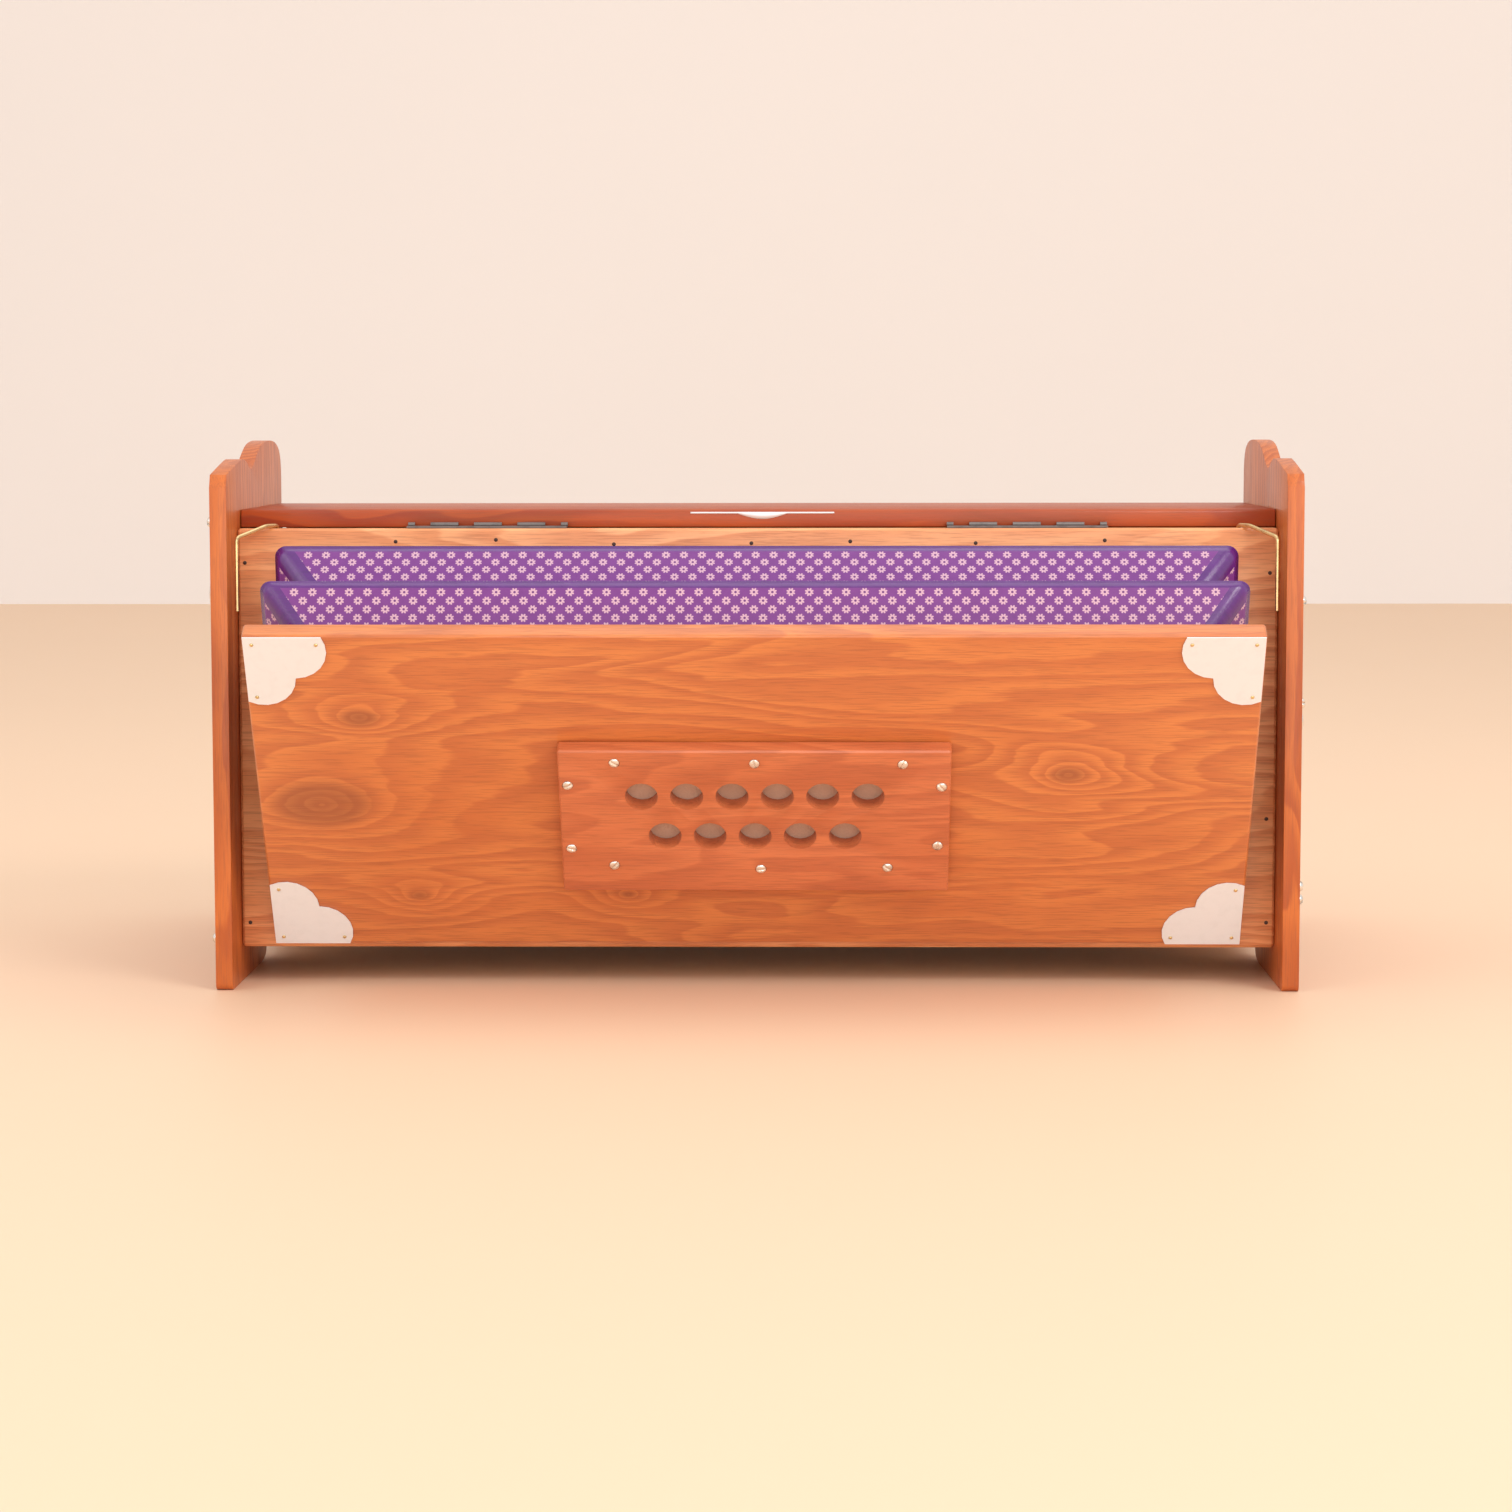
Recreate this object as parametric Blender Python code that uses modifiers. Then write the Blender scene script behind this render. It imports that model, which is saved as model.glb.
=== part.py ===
"""Portable harmonium with a wedge bellows, at its real size, with the bellows part open.

X runs along the keyboard, Z is up, and the bellows faces -Y. Depths are measured from the
front edges of the cheeks on the bellows side, and the whole model hangs on one empty that puts
the middle of its footprint at the origin. The keys face +Y, so the lowest note lies at +X.
"""

from math import atan2, cos, pi, radians, sin, sqrt

import bmesh
import bpy
from mathutils import Vector

# Overall, in metres
OVERALL_WIDTH = 0.610
GAP = 0.0003  # between pieces that touch

# Cheeks, the two end boards
CHEEK_THICKNESS = 0.0095
CHEEK_DEPTH = 0.330
CHEEK_FRONT_HEIGHT = 0.289
CHEEK_SHOULDER_HEIGHT = 0.2985
CHEEK_NOTCH_HEIGHT = 0.2925
CHEEK_PEAK_HEIGHT = 0.3085
CHEEK_PEAK_BACK = 0.216  # depth where the peak drops to the keyboard
CHEEK_ARM_HEIGHT = 0.242
CHEEK_ROUNDING = 0.003
FOOT_HEIGHT = 0.020
FOOT_LENGTH = 0.132

# Fixed case
FRAME_DEPTH = 0.036  # of the bellows frame's face behind the cheeks' front edges
FRAME_THICKNESS = 0.014
FRAME_TOP = 0.2594
FRAME_ARRIS = 0.0015
AIR_HOLE_COUNT = 6
AIR_HOLE_DIAMETER = 0.019
AIR_HOLE_PITCH = 0.060
AIR_HOLE_HEIGHT = 0.090
BASE_THICKNESS = 0.009
FRONT_BOARD_THICKNESS = 0.012
FRONT_BOARD_SETBACK = 0.006
FRONT_BOARD_TOP = 0.212

# Bellows: a wedge that opens about its bottom edge
REST_ANGLE = radians(32.0)
HINGE_CLEARANCE = 0.0006
HINGE_HEIGHT = 0.030
BOARD_SIDE_GAP = 0.0208  # from a cheek to the bellows board
BOARD_HEIGHT = 0.2145
BOARD_THICKNESS = 0.012
BOARD_ARRIS = 0.0012
FOLD_COUNT = 2
FOLD_SIDE_INSET = 0.0057  # from the board's end to a ridge
FOLD_RADIUS = 0.2225  # from the hinge line to the ridge of a fold
FOLD_PLEAT = 0.028
FOLD_CLOTH = 0.003
FOLD_FOOT = 0.024  # where the sides of the folds end above the hinge line
FOLD_CORNER = 0.006
FOLD_SEAM_ANGLE = radians(0.1)

# Air intake in the bellows board
VENT_WIDTH = 0.215
VENT_HEIGHT = 0.098
VENT_THICKNESS = 0.0095
VENT_CENTRE = 0.0955  # above the hinge line, along the board
VENT_HOLE_DIAMETER = 0.0183
VENT_HOLE_PITCH = 0.0249
VENT_ROW_COUNTS = (6, 5)
VENT_ROW_PITCH = 0.0275
VENT_ROWS_RISE = 0.004
WINDOW_WIDTH = 0.166
WINDOW_HEIGHT = 0.060
FLAP_THICKNESS = 0.0016
FLAP_MARGIN = 0.003

# Corner plates, each a square corner with two round lobes
PLATE_LEG = 0.0446
PLATE_LOBE = 0.018
PLATE_THICKNESS = 0.0006
PLATE_INSET = 0.0006

# Wire latches that hold the closed bellows
WIRE_DIAMETER = 0.0024
LATCH_PIN_INSET = 0.0225  # from a cheek to the latch's pin
LATCH_PIN_DEPTH = 0.007  # behind the frame's face
LATCH_PEG = 0.009
LATCH_ARM = 0.0372
LATCH_ANGLE = radians(30.0)  # of the arm at rest, swung out to the cheek
LATCH_DROP = 0.006
LATCH_LEG = 0.041
LATCH_BEND = 0.0022

# Lid
LID_THICKNESS = 0.0095
LID_TOP = 0.270
LID_FLAT_END = 0.206
LID_NOSE_HEIGHT = 0.240
LID_NOSE_ROUNDING = 0.010
LID_ARRIS = 0.002
LID_END_CLEARANCE = 0.0004
LID_HINGE_LENGTH = 0.091
LID_HINGE_INSET = 0.142  # from a cheek to the middle of a lid hinge
LID_HINGE_BARREL = 0.003
LID_HINGE_LEAF = 0.0095
LID_HINGE_LEAF_THICKNESS = 0.001
LID_HINGE_PITCH = 0.0248
LID_HINGE_SLOT = 0.009
LID_HINGE_SLOTS = 4

# Keyboard: three octaves, C to C
OCTAVES = 3
NATURAL_PITCH = 0.0235
KEY_GAP = 0.0008
KEY_TOP = 0.222
KEY_THICKNESS = 0.015
KEY_FRONT_CLEARANCE = 0.002
KEY_TAIL_END = 0.100
SHARP_WIDTH = 0.011
SHARP_HEIGHT = 0.009
SHARP_FRONT = 0.268
SHARP_BACK = 0.208
SHARP_SLOPE = 0.006
LEVER_WIDTH = 0.0086
LEVER_TAPER = 0.004  # length over which a natural narrows to its lever
PALLET_LENGTH = 0.048
PALLET_WIDTH = 0.0104
PIVOT_DEPTH = 0.205
PIVOT_RAIL_WIDTH = 0.006
END_BLOCK_TOP = 0.224
END_BLOCK_LENGTH = 0.098
END_BLOCK_SEAT = 0.0014  # how far the end blocks are let into the front board

# Reed board and what lies under it
REED_BOARD_TOP = 0.198
REED_BOARD_THICKNESS = 0.012
REED_BOARD_LENGTH = 0.162
REED_SLOT_WIDTH = 0.006
REED_SLOT_LENGTH = 0.034
REED_WIDTH = 0.009
REED_LENGTH = 0.046
REED_THICKNESS = 0.0016
REED_SEAT = 0.0003
RESERVOIR_HEIGHT = 0.130  # of its top when it is empty
RESERVOIR_THICKNESS = 0.008
RESERVOIR_LENGTH = 0.225

# Stop knobs
STOP_COUNT = 2
STOP_PITCH = 0.300
STOP_HEIGHT = 0.152
STOP_ROD_DIAMETER = 0.007
STOP_ROD_LENGTH = 0.110
STOP_KNOB_DIAMETER = 0.024
STOP_KNOB_LENGTH = 0.020

# Worked out from the sizes above
INNER_HALF = OVERALL_WIDTH / 2 - CHEEK_THICKNESS
BOARD_WIDTH = 2 * (INNER_HALF - BOARD_SIDE_GAP)
FOLD_WIDTH = BOARD_WIDTH - 2 * FOLD_SIDE_INSET
LATCH_PIN_X = INNER_HALF - LATCH_PIN_INSET
LID_HINGE_X = INNER_HALF - LID_HINGE_INSET
FRAME_BACK = FRAME_DEPTH + FRAME_THICKNESS
CASE_BOTTOM = FOOT_HEIGHT
FRONT_BOARD_FACE = CHEEK_DEPTH - FRONT_BOARD_SETBACK
FRONT_BOARD_BACK = FRONT_BOARD_FACE - FRONT_BOARD_THICKNESS
HINGE_DEPTH = FRAME_DEPTH - HINGE_CLEARANCE
BOARD_FACE = BOARD_THICKNESS + GAP + PLATE_THICKNESS
FOREMOST = HINGE_DEPTH - (BOARD_HEIGHT - PLATE_INSET) * sin(REST_ANGLE) - BOARD_FACE * cos(REST_ANGLE)
HINDMOST = FRONT_BOARD_FACE + GAP + STOP_KNOB_LENGTH
MIDDLE_DEPTH = (FOREMOST + HINDMOST) / 2
LID_BOTTOM = FRAME_TOP + GAP
BARREL_RADIUS = LID_HINGE_BARREL / 2
BARREL_DEPTH = FRAME_BACK - GAP - BARREL_RADIUS
BARREL_HEIGHT = FRAME_TOP + GAP + BARREL_RADIUS
KEY_BOTTOM = KEY_TOP - KEY_THICKNESS
KEY_FRONT = FRONT_BOARD_BACK - KEY_FRONT_CLEARANCE
OCTAVE_WIDTH = 7 * NATURAL_PITCH
SEMITONE = OCTAVE_WIDTH / 12
KEYBOARD_WIDTH = (7 * OCTAVES + 1) * NATURAL_PITCH
SHARP_STEPS = (1, 3, 6, 8, 10)
NOTE_NAMES = ("C", "C_sharp", "D", "D_sharp", "E", "F", "F_sharp", "G", "G_sharp", "A", "A_sharp", "B")

PARTS = "portable_harmonium"
CUTTERS = "cutters"


def clear_scene():
    for obj in list(bpy.data.objects):
        bpy.data.objects.remove(obj, do_unlink=True)
    for name in (PARTS, CUTTERS):
        bpy.context.scene.collection.children.link(bpy.data.collections.new(name))


def material(name, colour, roughness, metallic=0.0):
    made = bpy.data.materials.new(name)
    made.use_nodes = True
    shader = made.node_tree.nodes["Principled BSDF"]
    shader.inputs["Base Color"].default_value = (*colour, 1.0)
    shader.inputs["Roughness"].default_value = roughness
    shader.inputs["Metallic"].default_value = metallic
    return made


def place(obj, parent, location=(0, 0, 0), rotation=(0, 0, 0), finish=None, collection=PARTS):
    """Links an object, hangs it on its parent and gives it its finish."""
    bpy.data.collections[collection].objects.link(obj)
    obj.parent = parent
    obj.location = location
    obj.rotation_euler = rotation
    if finish is not None:
        obj.data.materials.append(finish)
    if collection == CUTTERS:
        obj.hide_render = True
        obj.display_type = "WIRE"
    return obj


def empty(name, parent, location, rotation=(0, 0, 0)):
    return place(bpy.data.objects.new(name, None), parent, location, rotation)


def box_mesh(name, boxes):
    """One mesh of boxes, each given by its lowest and highest corner."""
    mesh = bmesh.new()
    for low, high in boxes:
        low, high = Vector(low), Vector(high)
        corners = bmesh.ops.create_cube(mesh, size=1.0)["verts"]
        for corner in corners:
            corner.co = Vector(c * s for c, s in zip(corner.co, high - low)) + (low + high) / 2
    data = bpy.data.meshes.new(name)
    mesh.to_mesh(data)
    mesh.free()
    return data


def rod_mesh(name, rods, sides):
    """One mesh of round rods along one axis, each given by its middle, radius, length and turn."""
    mesh = bmesh.new()
    for middle, radius, length, axis in rods:
        made = bmesh.ops.create_cone(
            mesh, cap_ends=True, segments=sides, radius1=radius, radius2=radius, depth=length
        )["verts"]
        turn = Vector((0, 0, 1)).rotation_difference(Vector(axis)).to_matrix()
        for point in made:
            point.co = turn @ point.co + Vector(middle)
    data = bpy.data.meshes.new(name)
    mesh.to_mesh(data)
    mesh.free()
    return data


def outline_solid(name, points, thickness, parent, location, rotation, finish, collection=PARTS):
    """A closed flat outline given a thickness, as a welded mesh."""
    curve = bpy.data.curves.new(name, "CURVE")
    curve.dimensions = "2D"
    curve.fill_mode = "BOTH"
    curve.extrude = thickness / 2
    spline = curve.splines.new("POLY")
    spline.points.add(len(points) - 1)
    for point, (across, up) in zip(spline.points, points):
        point.co = (across, up, 0.0, 1.0)
    spline.use_cyclic_u = True
    drawn = bpy.data.objects.new(name + "_outline", curve)
    bpy.context.scene.collection.objects.link(drawn)
    bpy.context.view_layer.update()
    graph = bpy.context.evaluated_depsgraph_get()
    data = bpy.data.meshes.new_from_object(drawn.evaluated_get(graph))
    bpy.data.objects.remove(drawn, do_unlink=True)
    bpy.data.curves.remove(curve)
    mesh = bmesh.new()
    mesh.from_mesh(data)
    bmesh.ops.remove_doubles(mesh, verts=mesh.verts, dist=1e-6)
    bmesh.ops.dissolve_limit(mesh, angle_limit=radians(0.01), verts=mesh.verts, edges=mesh.edges)
    bmesh.ops.recalc_face_normals(mesh, faces=mesh.faces)
    mesh.to_mesh(data)
    mesh.free()
    data.name = name
    return place(bpy.data.objects.new(name, data), parent, location, rotation, finish, collection)


def bevel(obj, width, segments=1):
    made = obj.modifiers.new("rounded edges", "BEVEL")
    made.width = width
    made.segments = segments
    made.limit_method = "ANGLE"
    made.angle_limit = radians(50)


def combine(obj, other, operation):
    made = obj.modifiers.new(operation.lower(), "BOOLEAN")
    made.operation = operation
    made.solver = "EXACT"
    made.object = other


def cutter(name, data, parent):
    return place(bpy.data.objects.new(name, data), parent, collection=CUTTERS)


def arc(centre, radius, first, last, steps):
    """Points on a circle from one angle to another, in degrees, both ends included."""
    angles = [radians(first + (last - first) * i / steps) for i in range(steps + 1)]
    return [(centre[0] + radius * cos(a), centre[1] + radius * sin(a)) for a in angles]


def smooth(points, steps):
    """A Catmull-Rom curve through the points, ends included."""
    padded = [points[0], *points, points[-1]]
    found = []
    for before, start, end, after in zip(padded, padded[1:], padded[2:], padded[3:]):
        for i in range(steps):
            t = i / steps
            found.append(
                tuple(
                    0.5 * (2 * b + (c - a) * t + (2 * a - 5 * b + 4 * c - d) * t * t
                           + (3 * b - a - 3 * c + d) * t ** 3)
                    for a, b, c, d in zip(before, start, end, after)
                )
            )
    return [*found, points[-1]]


def rounded_path(points, radius, steps):
    """A route through the points with each bend rounded by a short curve."""
    points = [Vector(p) for p in points]
    found = [points[0]]
    for before, corner, after in zip(points, points[1:], points[2:]):
        start = corner + (before - corner).normalized() * radius
        end = corner + (after - corner).normalized() * radius
        for i in range(steps + 1):
            t = i / steps
            found.append(start * (1 - t) ** 2 + corner * 2 * t * (1 - t) + end * t * t)
    return [*found, points[-1]]


def cheek_outline():
    """The end board from the side: depth, then height, from the toe of the foot round the top."""
    slope_end = (0.036, CHEEK_SHOULDER_HEIGHT - 0.003)
    crown = smooth(
        [
            slope_end,
            (0.060, CHEEK_SHOULDER_HEIGHT),
            (0.076, CHEEK_SHOULDER_HEIGHT - 0.0015),
            (0.091, CHEEK_NOTCH_HEIGHT),
            (0.104, CHEEK_NOTCH_HEIGHT + 0.0025),
            (0.118, CHEEK_PEAK_HEIGHT - 0.0075),
            (0.137, CHEEK_PEAK_HEIGHT - 0.002),
            (0.162, CHEEK_PEAK_HEIGHT),
            (0.190, CHEEK_PEAK_HEIGHT - 0.001),
            (CHEEK_PEAK_BACK - 0.008, CHEEK_PEAK_HEIGHT - 0.006),
            (CHEEK_PEAK_BACK - 0.001, CHEEK_PEAK_HEIGHT - 0.015),
            (CHEEK_PEAK_BACK, CHEEK_PEAK_HEIGHT - 0.024),
        ],
        3,
    )
    arm = smooth(
        [
            (CHEEK_PEAK_BACK, CHEEK_ARM_HEIGHT + 0.024),
            (CHEEK_PEAK_BACK + 0.006, CHEEK_ARM_HEIGHT + 0.008),
            (CHEEK_PEAK_BACK + 0.022, CHEEK_ARM_HEIGHT),
            (CHEEK_DEPTH - 0.034, CHEEK_ARM_HEIGHT - 0.003),
            (CHEEK_DEPTH - 0.010, CHEEK_ARM_HEIGHT - 0.008),
            (CHEEK_DEPTH, CHEEK_ARM_HEIGHT - 0.022),
        ],
        3,
    )
    heel = 0.010
    toe = 0.004
    back_foot = [(CHEEK_DEPTH, toe), *arc((CHEEK_DEPTH - toe, toe), toe, -30, -90, 2)]
    back_foot += smooth(foot_curve(CHEEK_DEPTH - FOOT_LENGTH * 0.6, -heel), 3)
    front_foot = smooth(foot_curve(FOOT_LENGTH, heel)[::-1], 3)
    front_foot += arc((toe, toe), toe, -90, -180, 3)
    front = [(0.0, CHEEK_FRONT_HEIGHT - 0.006), (0.0035, CHEEK_FRONT_HEIGHT + 0.0015)]
    return [*front, *crown, *arm, *back_foot, *front_foot]


def foot_curve(depth, heel):
    """The inner end of a foot, which sweeps up to the underside of the case."""
    return [
        (depth - 2.2 * heel, 0.0),
        (depth - 0.6 * heel, 0.0022),
        (depth, 0.009),
        (depth + 0.1 * heel, FOOT_HEIGHT - 0.004),
        (depth + 0.6 * heel, FOOT_HEIGHT),
    ]


def add_cheeks(root, finish):
    side_turn = (pi / 2, 0, pi / 2)  # the outline's own axes lie along Y and Z
    for name, side in (("left_cheek", -1), ("right_cheek", 1)):
        middle = side * (OVERALL_WIDTH - CHEEK_THICKNESS) / 2
        cheek = outline_solid(
            name, cheek_outline(), CHEEK_THICKNESS, root, (middle, 0, 0), side_turn, finish
        )
        bevel(cheek, CHEEK_ROUNDING)


def add_case(root, finish, plain):
    half = INNER_HALF - GAP
    boards = {
        "base_board": (
            (-half, FRAME_BACK + GAP, CASE_BOTTOM),
            (half, FRONT_BOARD_BACK - GAP, CASE_BOTTOM + BASE_THICKNESS),
        ),
        "bellows_frame": ((-half, FRAME_DEPTH, CASE_BOTTOM), (half, FRAME_BACK, FRAME_TOP)),
    }
    for name, corners in boards.items():
        board = bpy.data.objects.new(name, box_mesh(name, [corners]))
        place(board, root, finish=plain if name == "base_board" else finish)
    frame = bpy.data.objects["bellows_frame"]
    rods = [
        ((AIR_HOLE_PITCH * (i - (AIR_HOLE_COUNT - 1) / 2), FRAME_DEPTH + FRAME_THICKNESS / 2, AIR_HOLE_HEIGHT),
         AIR_HOLE_DIAMETER / 2, FRAME_THICKNESS * 2, (0, 1, 0))
        for i in range(AIR_HOLE_COUNT)
    ]
    for side in (-1, 1):
        peg = (side * LATCH_PIN_X, FRAME_DEPTH + LATCH_PIN_DEPTH, FRAME_TOP)
        rods.append((peg, WIRE_DIAMETER / 2 + GAP, 2 * (LATCH_PEG + GAP), (0, 0, 1)))
    bevel(frame, FRAME_ARRIS)
    combine(frame, cutter("frame_holes", rod_mesh("frame_holes", rods, 16), root), "DIFFERENCE")


def add_front_board(root, finish):
    """The board below the keys, with its two end blocks beside them and a hole for each stop."""
    half = INNER_HALF - GAP
    face = ((-half, FRONT_BOARD_BACK, CASE_BOTTOM), (half, FRONT_BOARD_FACE, FRONT_BOARD_TOP))
    board = bpy.data.objects.new("front_board", box_mesh("front_board", [face]))
    place(board, root, finish=finish)
    inner = KEYBOARD_WIDTH / 2 + KEY_GAP
    blocks = [
        (
            (min(side * inner, side * half), FRONT_BOARD_BACK - END_BLOCK_LENGTH, REED_BOARD_TOP + GAP),
            (max(side * inner, side * half), FRONT_BOARD_BACK + END_BLOCK_SEAT, END_BLOCK_TOP),
        )
        for side in (-1, 1)
    ]
    combine(board, cutter("end_blocks", box_mesh("end_blocks", blocks), root), "UNION")
    rods = [
        ((stop_x(i), FRONT_BOARD_BACK, STOP_HEIGHT), STOP_ROD_DIAMETER / 2 + GAP,
         4 * FRONT_BOARD_THICKNESS, (0, 1, 0))
        for i in range(STOP_COUNT)
    ]
    combine(board, cutter("stop_holes", rod_mesh("stop_holes", rods, 16), root), "DIFFERENCE")
    bevel(board, 0.001)


def fold_ring(angle, inset):
    """The bellows' outline in one plane through the hinge line: up one side, across and down."""
    half = FOLD_WIDTH / 2 - inset
    top = FOLD_RADIUS - inset
    corner = FOLD_CORNER
    side = [(-half, FOLD_FOOT), (-half, top - corner)]
    side += arc((-half + corner, top - corner), corner, 180, 90, 3)[1:]
    outline = side + [(-x, radius) for x, radius in reversed(side)]
    return [Vector((x, -radius * sin(angle), radius * cos(angle))) for x, radius in outline]


def add_fold(name, first, last, axle, finish):
    """One pleat between two planes: its ridge stands out halfway, and its inside is straight."""
    ridge = (first + last) / 2
    flat = (last - first) * 0.04
    section = [
        (first, FOLD_PLEAT),
        (ridge - flat, 0.0),
        (ridge + flat, 0.0),
        (last, FOLD_PLEAT),
        (last, FOLD_PLEAT + FOLD_CLOTH),
        (first, FOLD_PLEAT + FOLD_CLOTH),
    ]
    mesh = bmesh.new()
    rings = [[mesh.verts.new(p) for p in fold_ring(angle, inset)] for angle, inset in section]
    count = len(rings[0])
    for i, ring in enumerate(rings):
        after = rings[(i + 1) % len(rings)]
        for j in range(count - 1):
            mesh.faces.new((ring[j], ring[j + 1], after[j + 1], after[j]))
    for j in (0, count - 1):
        mesh.faces.new([ring[j] for ring in rings])
    bmesh.ops.recalc_face_normals(mesh, faces=mesh.faces)
    data = bpy.data.meshes.new(name)
    mesh.to_mesh(data)
    mesh.free()
    place(bpy.data.objects.new(name, data), axle, finish=finish)


def corner_plate_outline():
    """A square corner whose far side is two round lobes that meet in a cusp."""
    near = PLATE_LEG - PLATE_LOBE
    low = PLATE_LOBE * 0.49
    span = sqrt(PLATE_LOBE ** 2 - low ** 2)
    start = atan2(-low, span) * 180 / pi
    halfway = (near - low) / 2
    cusp = atan2(sqrt(PLATE_LOBE ** 2 - halfway ** 2 * 2) / sqrt(2) + halfway,
                 sqrt(PLATE_LOBE ** 2 - halfway ** 2 * 2) / sqrt(2) - halfway) * 180 / pi
    lobe = arc((near, low), PLATE_LOBE, start, cusp, 7)
    return [(0.0, 0.0), *lobe, *[(up, across) for across, up in reversed(lobe[:-1])]]


def add_bellows_board(axle, finish, plate_finish, leather):
    """The moving board with its window, the vent plate over it, the flap inside and the corners."""
    half = BOARD_WIDTH / 2
    board = bpy.data.objects.new(
        "bellows_board", box_mesh("bellows_board", [((-half, -BOARD_THICKNESS, 0), (half, 0, BOARD_HEIGHT))])
    )
    place(board, axle, finish=finish)
    bevel(board, BOARD_ARRIS)
    window = (
        (-WINDOW_WIDTH / 2, -2 * BOARD_THICKNESS, VENT_CENTRE - WINDOW_HEIGHT / 2),
        (WINDOW_WIDTH / 2, BOARD_THICKNESS, VENT_CENTRE + WINDOW_HEIGHT / 2),
    )
    combine(board, cutter("board_window", box_mesh("board_window", [window]), axle), "DIFFERENCE")

    back = -BOARD_THICKNESS - GAP
    plate = bpy.data.objects.new(
        "vent_plate",
        box_mesh("vent_plate", [(
            (-VENT_WIDTH / 2, back - VENT_THICKNESS, VENT_CENTRE - VENT_HEIGHT / 2),
            (VENT_WIDTH / 2, back, VENT_CENTRE + VENT_HEIGHT / 2),
        )]),
    )
    place(plate, axle, finish=finish)
    bevel(plate, 0.001)
    rods = []
    for row, count in enumerate(VENT_ROW_COUNTS):
        height = VENT_CENTRE + VENT_ROWS_RISE + VENT_ROW_PITCH * ((len(VENT_ROW_COUNTS) - 1) / 2 - row)
        for i in range(count):
            across = VENT_HOLE_PITCH * (i - (count - 1) / 2)
            rods.append(((across, back, height), VENT_HOLE_DIAMETER / 2, 4 * VENT_THICKNESS, (0, 1, 0)))
    combine(plate, cutter("vent_holes", rod_mesh("vent_holes", rods, 20), axle), "DIFFERENCE")

    flap_top = VENT_CENTRE + WINDOW_HEIGHT / 2 - FLAP_MARGIN
    flap_axle = empty("valve_flap_axle", axle, (0, back + GAP, flap_top))
    flap_half = WINDOW_WIDTH / 2 - FLAP_MARGIN
    flap_height = WINDOW_HEIGHT - 2 * FLAP_MARGIN
    flap = box_mesh("valve_flap", [((-flap_half, 0, -flap_height), (flap_half, FLAP_THICKNESS, 0))])
    place(bpy.data.objects.new("valve_flap", flap), flap_axle, finish=leather)

    face = -BOARD_THICKNESS - GAP - PLATE_THICKNESS / 2
    for upper in (True, False):
        for side in (-1, 1):
            name = f"corner_plate_{'top' if upper else 'bottom'}_{'left' if side < 0 else 'right'}"
            across = side * (half - PLATE_INSET)
            height = BOARD_HEIGHT - PLATE_INSET if upper else PLATE_INSET
            points = [(-side * a, -u if upper else u) for a, u in corner_plate_outline()]
            outline_solid(name, points, PLATE_THICKNESS, axle, (across, face, height), (pi / 2, 0, 0), plate_finish)


def add_bellows(root, wood, cloth, plate_finish, leather):
    axis = (0, HINGE_DEPTH, HINGE_HEIGHT)
    share = REST_ANGLE / FOLD_COUNT
    for i in range(FOLD_COUNT):
        fold_axle = empty(f"fold_{i + 1}_axle", root, axis)
        first = 0.0 if i == 0 else i * share + FOLD_SEAM_ANGLE / 2
        last = (i + 1) * share - FOLD_SEAM_ANGLE / 2
        add_fold(f"bellows_fold_{i + 1}", first, last, fold_axle, cloth)
    board_axle = empty("bellows_board_axle", root, axis, (REST_ANGLE, 0, 0))
    add_bellows_board(board_axle, wood, plate_finish, leather)


def latch_route(side):
    """The wire from its peg in the ledge, out over the frame's edge, and down beside the cheek."""
    lift = GAP + WIRE_DIAMETER / 2
    reach = Vector((side * sin(LATCH_ANGLE), -cos(LATCH_ANGLE), 0)) * LATCH_ARM
    shelf = reach * ((LATCH_PIN_DEPTH + WIRE_DIAMETER) / -reach.y)
    return [
        (0, 0, -LATCH_PEG),
        (0, 0, lift),
        (shelf.x, shelf.y, lift),
        (reach.x, reach.y, lift - LATCH_DROP),
        (reach.x, reach.y, lift - LATCH_DROP - LATCH_LEG),
    ]


def add_latches(root, finish):
    for name, side in (("left_latch", -1), ("right_latch", 1)):
        curve = bpy.data.curves.new(name, "CURVE")
        curve.dimensions = "3D"
        curve.bevel_depth = WIRE_DIAMETER / 2
        curve.bevel_resolution = 2
        curve.use_fill_caps = True
        route = rounded_path(latch_route(side), LATCH_BEND, 4)
        spline = curve.splines.new("POLY")
        spline.points.add(len(route) - 1)
        for point, position in zip(spline.points, route):
            point.co = (*position, 1.0)
        pin = (side * LATCH_PIN_X, FRAME_DEPTH + LATCH_PIN_DEPTH, FRAME_TOP)
        place(bpy.data.objects.new(name, curve), root, pin, finish=finish)


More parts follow.
